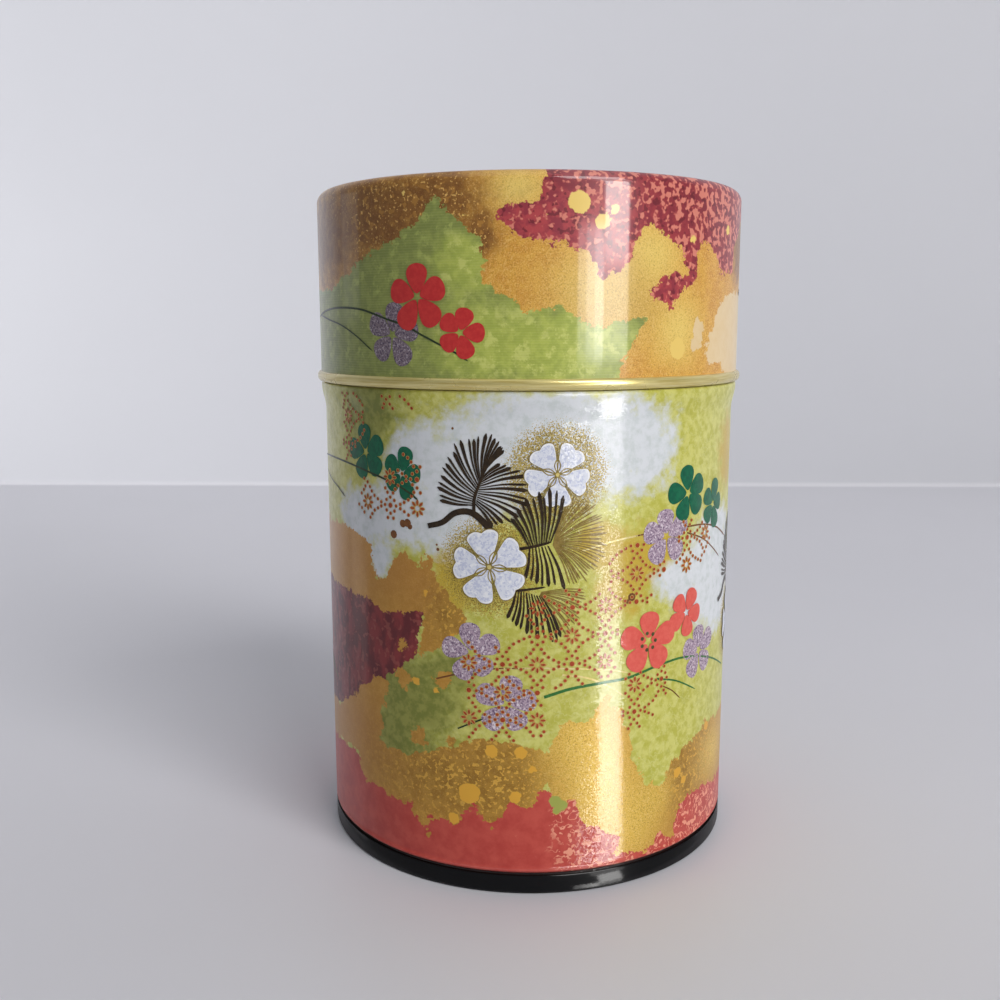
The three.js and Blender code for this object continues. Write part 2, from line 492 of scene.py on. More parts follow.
class Ink:
    """One colour of the print on one surface: flat shapes, laid on it as a thin skin."""

    spacing = 1.3

    def __init__(self, name, surface, material, layer):
        self.name = name
        self.surface = surface
        self.material = material
        self.lift = FILM * (2 + layer)
        self.points = []
        self.faces = []

    def fill(self, outline):
        """A closed outline, in triangles small enough to follow the wall."""
        outline = [Vector(point) for point in outline]
        low = [min(p[axis] for p in outline) for axis in (0, 1)]
        high = [max(p[axis] for p in outline) for axis in (0, 1)]
        grid = [
            Vector((along, up))
            for along in np.arange(low[0] + self.spacing / 2, high[0], self.spacing)
            for up in np.arange(low[1] + self.spacing / 2, high[1], self.spacing)
        ]
        clear = [
            p for p in grid
            if inside(p, outline) and min((p - q).length for q in outline) > self.spacing / 3
        ]
        border = [list(range(len(outline)))]
        vertices, _, faces, *_ = delaunay_2d_cdt(outline + clear, [], border, 1, 1e-4)
        for face in faces:
            self.face([vertices[index] for index in face])

    def face(self, corners):
        """One face, turned to look outwards."""
        area = sum(a.x * b.y - b.x * a.y for a, b in zip(corners, corners[1:] + corners[:1]))
        if abs(area) < 1e-7:
            return
        ordered = corners if area > 0 else corners[::-1]
        start = len(self.points)
        self.points += ordered
        self.faces.append(tuple(range(start, start + len(ordered))))

    def stroke(self, points, start_width, end_width, steps=6, tip=0.3):
        """A brush line with a width that changes evenly and a rounded far end."""
        line = smooth_line(points, steps)
        length = sum((b - a).length for a, b in zip(line, line[1:]))
        sides = []
        run = 0.0
        for index, point in enumerate(line):
            before = line[max(index - 1, 0)]
            after = line[min(index + 1, len(line) - 1)]
            if index:
                run += (point - before).length
            across = (after - before).normalized().orthogonal()
            share = run / length
            width = start_width + (end_width - start_width) * share
            left_over = max(length - run, 0.0) / max(tip, 1e-6)
            width *= math.sqrt(max(0.06, 1 - (1 - min(left_over, 1.0)) ** 2))
            sides.append((point + across * width / 2, point - across * width / 2))
        for (a, b), (c, d) in zip(sides, sides[1:]):
            self.face([a, b, d, c])

    def dot(self, centre, radius, sides=9):
        centre = Vector(centre)
        self.face([centre + radius * pointing(TURN * side / sides) for side in range(sides)])

    def make(self, body, slot):
        """The skin as a piece that rides on a body."""
        unique = {}
        order = []
        for point in self.points:
            key = (round(point[0], 4), round(point[1], 4))
            order.append(unique.setdefault(key, len(unique)))
        vertices = [self.surface.place(along, up, self.lift) for along, up in unique]
        faces = [tuple(order[corner] for corner in face) for face in self.faces]
        faces = [face for face in faces if len(set(face)) == len(face)]
        piece = link_mesh(self.name, vertices, faces, self.material)
        normals = [self.surface.normal(along) for along, _ in unique]
        piece.data.normals_split_custom_set_from_vertices(normals)
        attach(piece, body)
        return piece


# ---------------------------------------------------------------- painted fields of a film


def outline_depth(points, outline):
    """How far each point is inside the outline, in millimetres, and negative outside it."""
    depth = np.full(len(points), np.inf)
    crossed = np.zeros(len(points), bool)
    x, y = points[:, 0], points[:, 1]
    for (ax, ay), (bx, by) in zip(outline, outline[1:] + outline[:1]):
        dx, dy = bx - ax, by - ay
        share = np.clip(((x - ax) * dx + (y - ay) * dy) / (dx * dx + dy * dy), 0, 1)
        depth = np.minimum(depth, np.hypot(x - ax - share * dx, y - ay - share * dy))
        if ay != by:
            spans = (ay > y) != (by > y)
            crossed ^= spans & (x < ax + (y - ay) * dx / (by - ay))
    return np.where(crossed, depth, -depth)


def patches(points, outlines):
    """Depth inside the nearest of several outlines."""
    return np.max([outline_depth(points, outline) for outline in outlines], axis=0)


def blots(points, circles):
    """Depth inside the nearest of several circles (along, up, radius)."""
    return np.max(
        [size - np.hypot(points[:, 0] - along, points[:, 1] - up) for along, up, size in circles],
        axis=0,
    )


def clouds(points, spots):
    """Soft weight from 0 to 1 of spots (along, up, half width, half height)."""
    x, y = points[:, 0], points[:, 1]
    weights = [
        np.exp(-(((x - along) / wide) ** 2 + ((y - up) / tall) ** 2))
        for along, up, wide, tall in spots
    ]
    return 1 - np.prod([1 - weight for weight in weights], axis=0)


def to_front(along, up, radius, climb):
    """Maps the back of a wall onto the front's drawing: mirrored, and a little higher."""
    half = math.pi * radius
    quarter = half / 2
    back = np.abs(along) > quarter
    depth = np.clip((np.abs(along) - quarter) / quarter, 0, 1)
    front = np.where(back, np.sign(along) * half - along, along)
    return np.stack([front, up - climb * np.sin(depth * math.pi / 2)], 1)


# Body print. Gold over the upper left, and gold along the foot.
UPPER_GOLD = [
    (-70, 62), (-38, 62), (-31, 60), (-29, 54), (-26, 55), (-23, 60), (-16, 56), (-10, 49),
    (-14, 44), (-20, 41), (-18, 50), (-26, 48), (-33, 50), (-70, 50),
]
LOWER_GOLD_TOP = [
    (-70, 24), (-46, 26), (-36, 31), (-30, 36), (-26, 36), (-28, 30), (-29, 24), (-22, 23),
    (-14, 26), (-9, 28), (-3, 28), (4, 26), (6, 31), (11, 31), (14, 36), (18, 29), (19, 24),
    (22, 18), (26, 17), (29, 21), (34, 23), (40, 25), (46, 24), (70, 27),
]
LOWER_GOLD_FOOT = [
    (70, 12), (46, 11), (39, 13), (31, 12), (29, 5), (26, 8), (22, 5), (16, 6), (17, 9),
    (10, 13), (8, 17), (5, 15), (3, 20), (0, 16), (-3, 17), (-6, 12), (-9, 16), (-13, 12),
    (-18, 13), (-18, 9), (-22, 14), (-34, 15), (-37, 20), (-46, 19), (-70, 17),
]
CRIMSON_PATCH = [
    (-70, 52), (-30, 53), (-18, 50), (-20, 41), (-26, 37), (-28, 34), (-34, 28), (-70, 22),
]
GOLD_ISLANDS = [
    (-23, 43, 0.9), (-18, 58, 1.1), (-23, 37, 1.7), (-15, 38, 1.7), (-20, 27, 1.6), (-13, 27, 0.9),
]
RED_TOP = [(19, 19.5), (22, 15.5), (28, 15.5), (31, 19.5)]
LEAF_BLOTS = [
    (4.9, 17.2, 1.2), (6.2, 16.4, 1.0), (5.3, 15.7, 0.8), (-9.3, 37.6, 0.4),
]
GOLD_BLOTS = [
    (-10, 18, 2.0), (-6, 26, 1.2), (-1, 26, 1.1), (1, 23, 0.8), (-2, 18, 1.2), (-13, 13, 1.0),
    (30, 18, 1.0), (32, 16, 0.8), (30, 12, 0.5), (-18, 53, 0.6), (-13, 46, 0.5), (-11, 49, 0.4),
    (-20, 37, 0.8), (-16, 36, 0.8), (40, 24, 0.9),
]
MIST = [
    (-3, 76, 18, 9), (10, 78, 15, 8), (-14, 68, 9, 9), (-26, 66, 11, 5.5), (-28, 57.5, 3, 4),
    (20, 78, 7, 7), (36, 56, 9, 5), (46, 53, 9, 9), (42, 62, 8, 4), (27, 54, 5, 3),
    (5, 84, 14, 3), (-20, 77, 5, 4), (36, 49, 8, 5), (44, 47, 6, 6), (-34, 64, 8, 5),
]
DEEP_GREEN = [(-24, 26, 9, 7), (-27, 35, 8, 5), (-18, 34, 7, 6), (-30, 84, 8, 8), (-14, 40, 6, 3)]
MUSTARD = [
    (20, 59, 6, 5), (16, 53, 5, 5), (12, 62, 5, 4), (24, 60, 4, 4), (-13, 56, 4, 8),
    (48, 75, 6, 8),
]
# Lighter yellow gold of the print, and over it a painted highlight: these clouds, with strong
# grains, lie along the window's streak down the body.
YELLOW_GOLD_AND_PAINTED_STREAK = [(12, 20, 8, 14), (20, 12, 6, 9), (8, 28, 5, 6), (24, 15, 4, 4), (44, 18, 7, 5)]
BROWN_GOLD = [(-12, 20, 16, 8), (-4, 22, 7, 9), (32, 17, 6, 8), (-13, 50, 5, 6), (39, 19, 8, 7)]
OCHRE = [(-27, 57, 16, 7), (-45, 56, 14, 8), (-34, 24, 14, 8), (-50, 24, 14, 9), (-16, 53, 6, 4)]
WORMS = [(11, 9, 6, 8), (8, 15, 3, 4), (28, 7, 5, 5), (38, 8, 11, 6), (16, 6, 4, 4)]
# Plum blossoms: centre, scale and the turn of the first petal in degrees.
BLOSSOMS = [((-6.3, 58.3), 1.17, 103), ((4.9, 73.8), 1.0, 126)]
# Where the pine twig and its blossoms come again round the body: along and up.
PINE_REPEATS = [(0, 0), (61.5, -17.5), (123, 1), (-74, -6)]
HALO = 11.5


def body_fields(along, up):
    """Every painted field of the body's film, by name."""
    points = to_front(along, up, BODY_RADIUS, 5.0)
    lower_gold = LOWER_GOLD_TOP + LOWER_GOLD_FOOT
    halo = np.max(
        [1 - np.hypot(along - x, up - y) / HALO for x, y in every_blossom(BODY_RADIUS)], axis=0
    )
    return {
        "gold": np.maximum(patches(points, [UPPER_GOLD, lower_gold]), blots(points, GOLD_ISLANDS)),
        "crimson": patches(points, [CRIMSON_PATCH]),
        "red": np.interp(points[:, 0], *zip(*RED_TOP)) - points[:, 1],
        "leaf": blots(points, LEAF_BLOTS),
        "blot": blots(points, GOLD_BLOTS),
        "mist": clouds(points, MIST),
        "deep": clouds(points, DEEP_GREEN),
        "mustard": clouds(points, MUSTARD),
        # bright: yellow gold, partly a painted highlight along the streak
        "bright": clouds(points, YELLOW_GOLD_AND_PAINTED_STREAK),
        "ochre": clouds(points, OCHRE),
        "brown": clouds(points, BROWN_GOLD),
        "worms": clouds(points, WORMS),
        "halo": np.clip(halo, 0, 1),
    }


def every_blossom(radius):
    """Centres of all plum blossoms on the body, with those of the repeats."""
    turn = TURN * radius
    centres = []
    for shift, drop in PINE_REPEATS:
        for (along, up), _, _ in BLOSSOMS:
            place = (along + shift + turn / 2) % turn - turn / 2
            centres += [(place, up + drop), (place - turn, up + drop), (place + turn, up + drop)]
    return centres


# Lid print.
LID_GREEN = [
    (-70, 80), (-70, 104), (-42, 104), (-30, 109), (-22, 112), (-18, 115), (-15, 118),
    (-12, 114), (-8, 112), (-7, 105), (0, 100), (6, 101), (10, 97), (16, 99), (20, 99),
    (18, 95), (15, 92), (15, 80),
]
LID_CRIMSON = [
    (-5, 116), (2, 117), (3, 130), (70, 130), (70, 116), (52, 116), (47, 112), (45, 107),
    (40, 106), (37, 110), (32, 112), (31, 105), (27, 103), (26, 100), (21, 103), (24, 106),
    (29, 106), (27, 110), (21, 114), (17, 111), (17, 108), (12, 105), (9, 110), (3, 111),
    (-3, 112),
]
LID_CREAM = [
    [(30, 94), (31, 99), (34, 98), (33, 94)],
    [(70, 80), (70, 104), (42, 103), (38, 100), (36, 96), (34, 92), (41, 91), (46, 80)],
]
LID_BLOTS = [
    (8, 117, 1.8), (12, 114, 1.2), (14, 116, 0.8), (3, 115, 0.5), (27, 94, 1.8),
    (30, 112, 0.8), (42, 114, 0.9), (-10, 115, 0.5), (-21, 119, 0.5),
]
LID_BROWN = [
    (-28, 116, 16, 8), (-45, 113, 16, 9), (-15, 117, 8, 6), (-7.5, 111.5, 2.5, 3.5),
    (52, 111, 8, 7),
]
# Lighter yellow gold: print at the right and on the top, and over the window's column a painted
# highlight.
LID_YELLOW_GOLD_AND_HIGHLIGHT = [(12, 103, 8, 7), (21, 109, 7, 6), (27, 97, 6, 6), (-1.5, 119, 5, 3.5)]
# Painted shade: darker gold laid where the window's highlight falls on the lid, to hold the
# highlight down.
LID_SHADE_UNDER_HIGHLIGHT = [(13, 101, 6, 8), (15, 106, 4, 4), (19, 101, 4, 4)]
LID_FLECKED = [(-20, 120, 26, 5), (-10, 118, 14, 6), (-8, 112, 6, 8), (-30, 112, 4, 8)]
LID_FLAKED = [(38, 116, 16, 10), (28, 119, 8, 5), (58, 112, 14, 12), (10, 120, 10, 2)]
# Lighter green: clouds of the print, and at the lower middle a painted highlight where the
# window's sheen washes the green.
LID_LIGHT_GREEN_AND_HIGHLIGHT = [(7, 94, 13, 8), (-8, 95, 8, 6), (-10, 108, 6, 5)]

# Top of the lid, seen from above with the front of the print towards the viewer.
TOP_CRIMSON = [
    (2.2, -60), (2.6, -33), (-1, -30), (0, -26), (4, -23), (3, -19), (7, -17), (9, -12), (6, -9),
    (9, -4), (14, -6), (17, -2), (15, 3), (19, 6), (18, 11), (23, 13), (25, 19), (31, 18),
    (36, 22), (60, 34), (60, -60),
]
TOP_GREEN = [
    (-60, -12), (-34, -9), (-29, -13), (-25, -8), (-20, -11), (-17, -5), (-11, -6), (-9, 0),
    (-4, 2), (-5, 8), (1, 11), (0, 17), (-6, 20), (-4, 26), (-9, 30), (-8, 60), (-60, 60),
]
SHOULDER_UP = HEIGHT - SHOULDER
TOP_UP = SHOULDER_UP + SHOULDER * math.pi / 2
TOP_EDGE = LID_RADIUS - SHOULDER
TOP_BLEND = 5.0
LID_FILM_FOOT = RIM_HEIGHT + BEAD_HEIGHT - 0.05


def lid_fields(along, up):
    """Every painted field of the lid's film, on its wall and over its top."""
    wall = to_front(along, up, LID_RADIUS, 3.0)
    out = np.clip(TOP_EDGE - (up - TOP_UP), 0, TOP_EDGE)
    angle = along / LID_RADIUS
    plan = np.stack([out * np.sin(angle), -out * np.cos(angle)], 1)
    share = np.clip((up - TOP_UP) / TOP_BLEND, 0, 1)
    share = share * share * (3 - 2 * share)

    def both(wall_field, top_field):
        return wall_field * (1 - share) + top_field * share

    outside = np.full(len(along), -20.0)
    return {
        "green": both(patches(wall, [LID_GREEN]), patches(plan, [TOP_GREEN])),
        "crimson": both(patches(wall, [LID_CRIMSON]), patches(plan, [TOP_CRIMSON])),
        "cream": both(patches(wall, LID_CREAM), outside),
        "blot": both(blots(wall, LID_BLOTS), blots(plan, [(-14, -22, 2.6), (12, 18, 2.2)])),
        "brown": both(clouds(wall, LID_BROWN), clouds(plan, [(-16, -22, 16, 14)])),
        # bright: yellow gold of the print, partly a painted highlight in the window's column
        "bright": both(clouds(wall, LID_YELLOW_GOLD_AND_HIGHLIGHT), clouds(plan, [(4, 16, 14, 12)])),
        # pale: painted shade, darker gold under the lid's highlight
        "pale": clouds(wall, LID_SHADE_UNDER_HIGHLIGHT),
        "flecked": both(clouds(wall, LID_FLECKED), np.zeros(len(along))),
        "flaked": both(clouds(wall, LID_FLAKED), np.ones(len(along))),
        # light: lighter green, partly print, partly a painted highlight at the lower middle
        "light": both(clouds(wall, LID_LIGHT_GREEN_AND_HIGHLIGHT), clouds(plan, [(-14, 10, 12, 12)])),
    }


def film(name, wall, rows, fields, material):
    """The printed skin of a wall, with one painted field per attribute."""
    vertices = []
    marks = []
    rings = []
    turn = TURN * wall.radius
    for up in rows:
        radius = float(np.interp(up, wall.ups, wall.radii))
        count = 1 if radius < 0.01 else SEGMENTS
        start = len(vertices)
        rings.append([start + step % count for step in range(SEGMENTS)])
        for step in range(count):
            along = turn * (step / SEGMENTS - 0.5)
            marks.append((along, up))
            vertices.append(wall.place(along, up, FILM) if count > 1 else (0, 0, HEIGHT + FILM))
    faces = [face for low, high in zip(rings, rings[1:]) for face in ring_faces(low, high)]
    piece = link_mesh(name, vertices, faces, material)
    marks = np.array(marks)
    for field_name, values in fields(marks[:, 0], marks[:, 1]).items():
        attribute = piece.data.attributes.new(field_name, "FLOAT", "POINT")
        attribute.data.foreach_set("value", values.astype(np.float32))
    return piece


# ---------------------------------------------------------------- print materials

LID_VARNISH = 0.34
BODY_VARNISH = 0.33
VARNISH_ROUGHNESS = 0.07
ROLLED_ROUGHNESS = 0.42
BAND_WANDER = 3.4
RULED_SPACING = 0.42


def ragged(shader, coarse, fine):
    """Millimetres by which a printed edge wanders."""
    wide = shader.times(shader.swing(0.45, 4, 0.6), coarse)
    narrow = shader.times(shader.swing(1.9, 3, 0.6, 3.0), fine)
    return shader.add(wide, narrow)


def mask(shader, name, wander, soft=0.09):
    return shader.fade(shader.add(shader.field(name), wander), -soft, soft)


def soft_mask(shader, name, middle, soft, grain):
    """A cloudy mask whose edge is broken up by the grain."""
    return shader.fade(shader.add(shader.field(name), grain), middle - soft, middle + soft)


def cloudy_grain(shader, amount):
    return shader.times(shader.swing(0.35, 5, 0.65, 11.0), amount)


def sand(shader, color, strength):
    """Bright and dark grains over a gold. Also gives the grain itself."""
    grain = shader.noise(4.2, 2, 0.65)
    bright = shader.times(shader.fade(grain, 0.5, 0.66), strength)
    dark = shader.times(shader.fade(grain, 0.47, 0.33), strength)
    color = shader.mix(bright, color, "#f6dc96")
    return shader.mix(dark, color, "#74491a"), grain


def chips(shader, scale, shift, level, soft=0.02):
    """Irregular flakes. More of them as the level falls."""
    flakes = shader.noise(scale, 1.5, 0.55, shift=shift)
    return shader.fade(shader.less(flakes, level), -soft, soft)


def body_green(shader, mottle, grain):
    """The yellow-green ground with its veins, deeper clouds, mustard and white mist."""
    fine = shader.noise(3.0, 3, 0.6, shift=9.0)
    veins = shader.math("ABSOLUTE", shader.swing(0.4, 3, 0.6, 41.0))
    veins = shader.times(shader.fade(veins, 0.03, 0.0), 0.3)
    green = shader.tones(mottle, 0.36, 0.64, "#bab84c", "#d1cf74")
    green = shader.mix(veins, green, "#dedfa0")
    deep = shader.tones(mottle, 0.4, 0.6, "#7d8338", "#98994a")
    green = shader.mix(soft_mask(shader, "deep", 0.45, 0.45, grain), green, deep)
    mustard = shader.tones(fine, 0.5, 0.7, "#c6a93c", "#d0bd58")
    color = shader.mix(soft_mask(shader, "mustard", 0.5, 0.3, grain), green, mustard)
    mist = shader.tones(mottle, 0.4, 0.7, "#dde1e5", "#cbd2d2")
    return shader.mix(soft_mask(shader, "mist", 0.55, 0.25, grain), color, mist)


def blossom_dust(shader, color):
    """Gold and brown dust that thins out round the plum blossoms."""
    halo = shader.field("halo")
    for scale, shift, most, dust in ((3.4, 5.0, 0.66, "#b8a044"), (4.6, 0.0, 0.4, "#5f4e1e")):
        spots, _ = shader.cells(scale, shift)
        reach = shader.times(shader.fade(halo, 0.02, 0.45), most)
        stipple = shader.fade(shader.less(reach, spots), -0.03, 0.06)
        color = shader.mix(shader.times(stipple, 0.9), color, dust)
    return color


def body_crimson(shader):
    smoke = shader.noise(0.35, 4, 0.6, stretch=(1.0, 1.0, 0.5), shift=21.0)
    crimson = shader.tones(smoke, 0.4, 0.6, "#67262b", "#8c3637")
    return shader.mix(shader.times(chips(shader, 0.8, 4.0, 0.6), 0.5), crimson, "#a4584f")


def body_red(shader, mottle, grain):
    """The red foot, with pale worm-like flakes in places."""
    red_tone = shader.noise(0.4, 5, 0.6, shift=15.0)
    red = shader.tones(red_tone, 0.3, 0.7, "#b8423a", "#c85448")
    worm_lines = shader.math("ABSOLUTE", shader.swing(0.55, 2, 0.5, 31.0))
    worms = shader.times(shader.fade(worm_lines, 0.028, 0.012), shader.fade(mottle, 0.4, 0.5))
    worms = shader.math("MAXIMUM", worms, chips(shader, 0.9, 17.0, 0.59))
    worms = shader.times(worms, soft_mask(shader, "worms", 0.4, 0.2, grain))
    return shader.mix(worms, red, "#ec9c82")


def body_gold(shader, mottle):
    """The gold clouds, from ochre through brown to bright, and their grain. The bright clouds are
    partly print and partly a painted highlight: lighter gold with strong glittering grain along
    the window's streak.
    """
    bright = shader.field("bright")
    gold = shader.tones(mottle, 0.35, 0.65, "#c4903a", "#cf9c45")
    gold = shader.mix(shader.times(shader.field("ochre"), 0.6), gold, "#bf8440")
    brown = shader.tones(mottle, 0.4, 0.6, "#9c7229", "#b38735")
    gold = shader.mix(shader.field("brown"), gold, brown)
    # Lighter gold where bright: partly print, partly a painted highlight along the window's
    # streak.
    gold = shader.mix(bright, gold, "#e6bf53")
    flecks = shader.times(chips(shader, 1.5, 2.0, 0.585), shader.field("brown"))
    gold = shader.mix(flecks, gold, "#dfae49")
    # The grains grow strong where bright: painted glitter of the highlight streak.
    return sand(shader, gold, shader.blend(bright, 0.08, 0.55))


def body_print():
    shader = Shader("body_print")
    wander = ragged(shader, 1.3, 0.45)
    band = shader.times(wander, BAND_WANDER)
    mottle = shader.noise(0.6, 5, 0.62)
    grain = cloudy_grain(shader, 1.3)
    gold, gold_grain = body_gold(shader, mottle)
    in_gold = mask(shader, "gold", band)

    color = blossom_dust(shader, body_green(shader, mottle, grain))
    color = shader.mix(mask(shader, "crimson", band), color, body_crimson(shader))
    color = shader.mix(mask(shader, "red", band), color, body_red(shader, mottle, grain))
    color = shader.mix(in_gold, color, gold)
    color = shader.mix(mask(shader, "leaf", wander), color, "#a4ab52")
    color = shader.mix(mask(shader, "blot", wander), color, "#e8b040")
    # Painted shadow: the film turns near-black at the neck-in just above the seam, for the shade
    # in that groove.
    neck = shader.fade(split_height(shader), NECK_IN_BOTTOM + 0.55, NECK_IN_BOTTOM + 0.2)
    color = shader.mix(neck, color, "#21100e")

    metallic = shader.blend(in_gold, 0.05, 0.22)
    shader.bump(gold_grain, 0.02)
    shader.rolled(0.95)
    shader.lean(LEAN, LEAN_SPREAD, SIDE_SPREAD)
    return shader.finish(color, metallic, ROLLED_ROUGHNESS, BODY_VARNISH, VARNISH_ROUGHNESS, 0.3)


def lid_gold(shader, mottle, grain):
    """Gold with brown clouds, gilt flakes and specks, and its grain; lighter gold that is partly a
    painted highlight, and darker gold painted as shade under that highlight.
    """
    brown = soft_mask(shader, "brown", 0.5, 0.45, grain)
    flecked = soft_mask(shader, "flecked", 0.5, 0.4, grain)
    gold = shader.tones(mottle, 0.38, 0.62, "#d4973a", "#dea643")
    # Lighter gold where the field named bright is high: partly print, partly a painted highlight
    # in the window's column.
    gold = shader.mix(shader.field("bright"), gold, "#eccc6c")
    # Painted shade: the field named pale darkens the gold under the window's highlight.
    gold = shader.mix(shader.times(shader.field("pale"), 0.6), gold, "#c7a04c")
    russet = shader.tones(mottle, 0.35, 0.65, "#74471b", "#895a26")
    gold = shader.mix(shader.times(brown, 0.95), gold, russet)
    gold, gold_grain = sand(shader, gold, shader.blend(brown, 0.36, 0.06))
    gilt = shader.times(chips(shader, 0.9, 2.0, 0.6, 0.03), shader.times(flecked, brown))
    specks = shader.times(chips(shader, 2.0, 25.0, 0.64, 0.03), shader.times(flecked, brown))
    gold = shader.mix(shader.times(gilt, 0.6), gold, "#c08a3c")
    return shader.mix(shader.times(specks, 0.9), gold, "#e6b866"), gold_grain


def lid_green(shader, mottle, grain):
    blotch = shader.noise(0.42, 6, 0.68, shift=13.0)
    green = shader.tones(mottle, 0.42, 0.6, "#a2af4b", "#b3be57")
    green = shader.tones(blotch, 0.5, 0.6, green, "#c6cd6d")
    dull = shader.tones(mottle, 0.42, 0.6, "#808c45", "#8f9a4d")
    dull = shader.tones(blotch, 0.54, 0.66, dull, "#a3ad5a")
    # The field named light gives lighter green: partly print, partly a painted highlight at the
    # lower middle.
    return shader.mix(soft_mask(shader, "light", 0.5, 0.4, grain), dull, green)


def lid_crimson(shader):
    """Crimson under darker and paler flakes."""
    deep = shader.noise(0.6, 3, 0.6, shift=21.0)
    flaked = shader.field("flaked")
    crimson = shader.tones(deep, 0.4, 0.6, "#b5464a", "#953541")
    crimson = shader.mix(shader.times(flaked, 0.75), crimson, "#802933")
    dark_chips = chips(shader, 0.9, 51.0, 0.6, 0.03)
    crimson = shader.mix(shader.times(dark_chips, 0.7), crimson, "#641d28")
    level = shader.blend(flaked, 0.58, 0.5)
    for rise, color_of_chip in ((0.0, "#c4625a"), (0.04, "#de8875")):
        flakes = chips(shader, 1.0, 6.0, shader.add(level, rise), 0.025)
        crimson = shader.mix(shader.times(flakes, 0.85), crimson, color_of_chip)
    return crimson


def lid_print():
    shader = Shader("lid_print")
    wander = ragged(shader, 1.3, 0.55)
    band = shader.times(wander, BAND_WANDER)
    mottle = shader.noise(0.55, 5, 0.62)
    grain = cloudy_grain(shader, 1.2)
    in_green = mask(shader, "green", band)
    in_crimson = mask(shader, "crimson", band)
    in_cream = mask(shader, "cream", band)

    color, gold_grain = lid_gold(shader, mottle, grain)
    color = shader.mix(in_green, color, lid_green(shader, mottle, grain))
    color = shader.mix(in_crimson, color, lid_crimson(shader))
    color = shader.mix(in_cream, color, shader.mix(mottle, "#ead4aa", "#dfbf88"))
    color = shader.mix(mask(shader, "blot", wander), color, "#efce70")
    lines = shader.math("SINE", shader.times(split_height(shader), TURN / RULED_SPACING))
    ruled = shader.times(shader.fade(lines, 0.2, 0.9), in_green)
    color = shader.mix(shader.times(ruled, 0.06), color, "#efe6b8")

    plain = shader.math("MAXIMUM", shader.math("MAXIMUM", in_green, in_crimson), in_cream)
    metallic = shader.blend(plain, 0.05, 0.03)
    shader.bump(gold_grain, 0.02)
    shader.rolled(0.9)
    return shader.finish(color, metallic, ROLLED_ROUGHNESS, LID_VARNISH, VARNISH_ROUGHNESS, 0.4)


def split_height(shader):
    """The height part of the coordinates, in millimetres."""
    node = shader.tree.nodes.new("ShaderNodeSeparateXYZ")
    shader.put(node.inputs[0], shader.coords)
    return node.outputs["Z"]


def plain_ink(name, color, second, metallic=0.1, scale=1.2):
    """A printed ink with a little mottling."""
    shader = Shader(name)
    mottle = shader.noise(scale, 4, 0.6)
    shader.bump(shader.noise(3.2, 2, 0.7), 0.006)
    tone = shader.tones(mottle, 0.35, 0.65, color, second)
    shader.rolled(0.95)
    shader.lean(LEAN, LEAN_SPREAD, SIDE_SPREAD)
    return shader.finish(tone, metallic, ROLLED_ROUGHNESS, BODY_VARNISH, VARNISH_ROUGHNESS, 0.2)


def glitter_ink(name, ground, dark, light, scale):
    """A speckled ink, such as the lilac flowers and the marbled plum petals."""
    shader = Shader(name)
    grit = shader.noise(scale, 2, 0.7)
    second = shader.noise(0.7 * scale, 3, 0.7, shift=8.0)
    tone = shader.tones(grit, 0.42, 0.52, dark, ground)
    tone = shader.tones(second, 0.55, 0.62, tone, light)
    shader.rolled(0.95)
    shader.lean(LEAN, LEAN_SPREAD, SIDE_SPREAD)
    return shader.finish(tone, 0.05, ROLLED_ROUGHNESS, BODY_VARNISH, VARNISH_ROUGHNESS, 0.2)


# ---------------------------------------------------------------- motifs


def moved(points, shift):
    return [(along + shift[0], up + shift[1]) for along, up in points]


FLOWER_PETALS = 5
PETAL_SIDE = [(0.0, 0.1), (0.3, 0.36), (0.65, 0.5), (0.9, 0.38), (1.0, 0.12)]
PETAL_ROOT = 0.14
PETAL_WIDTH = 0.76
PETAL_WANDER = 0.12
PETAL_SWAY = 5


def small_flower(paint, centre, size, turn):
    """A plain five-petalled flower with gaps between its petals, each a little different."""
    draw = random.Random(turn)
    middle = Vector(centre)
    for number in range(FLOWER_PETALS):
        sway = draw.uniform(-PETAL_SWAY, PETAL_SWAY)
        angle = math.radians(turn + 360 * number / FLOWER_PETALS + sway)
        heading = pointing(angle)
        across = heading.orthogonal() * size * PETAL_WIDTH
        length = size * (1 - PETAL_ROOT) * draw.uniform(1 - PETAL_WANDER, 1 + PETAL_WANDER)
        root = middle + heading * size * PETAL_ROOT
        left = [root + heading * length * out + across * wide for out, wide in PETAL_SIDE]
        right = [root + heading * length * out - across * wide for out, wide in PETAL_SIDE[::-1]]
        paint.fill(smooth_line(left + right, 3, closed=True))


def flowers(paint, group, shift):
    """Small flowers (along, up, size, turn), moved together."""
    for along, up, size, turn in group:
        small_flower(paint, (along + shift[0], up + shift[1]), size, turn)


PLUM_PETALS = 5
PLUM_SIDE = [
    (0.35, 0.12), (1.5, 0.9), (2.8, 1.65), (3.8, 2.15), (4.5, 2.3), (5.05, 1.85), (5.3, 1.05),
    (5.15, 0.4),
]
PLUM_NOTCH = (4.95, 0.0)
PLUM_LOOP = [(0.38, 0.06), (0.9, 0.34), (1.5, 0.5), (2.1, 0.32), (2.7, 0.03)]


def plum_petal(paint, centre, degrees, scale, grow):
    """A heart-shaped petal, made larger all round by grow."""
    heading = pointing(math.radians(degrees))
    across = heading.orthogonal()
    side = [(out * scale + (grow if out > 1 else 0), wide * scale + grow)
            for out, wide in PLUM_SIDE]
    outline = side + [(PLUM_NOTCH[0] * scale + grow, 0.0)]
    outline += [(out, -wide) for out, wide in side[::-1]]
    spots = [Vector(centre) + heading * out + across * wide for out, wide in outline]
    paint.fill(smooth_line(spots, 3, closed=True))


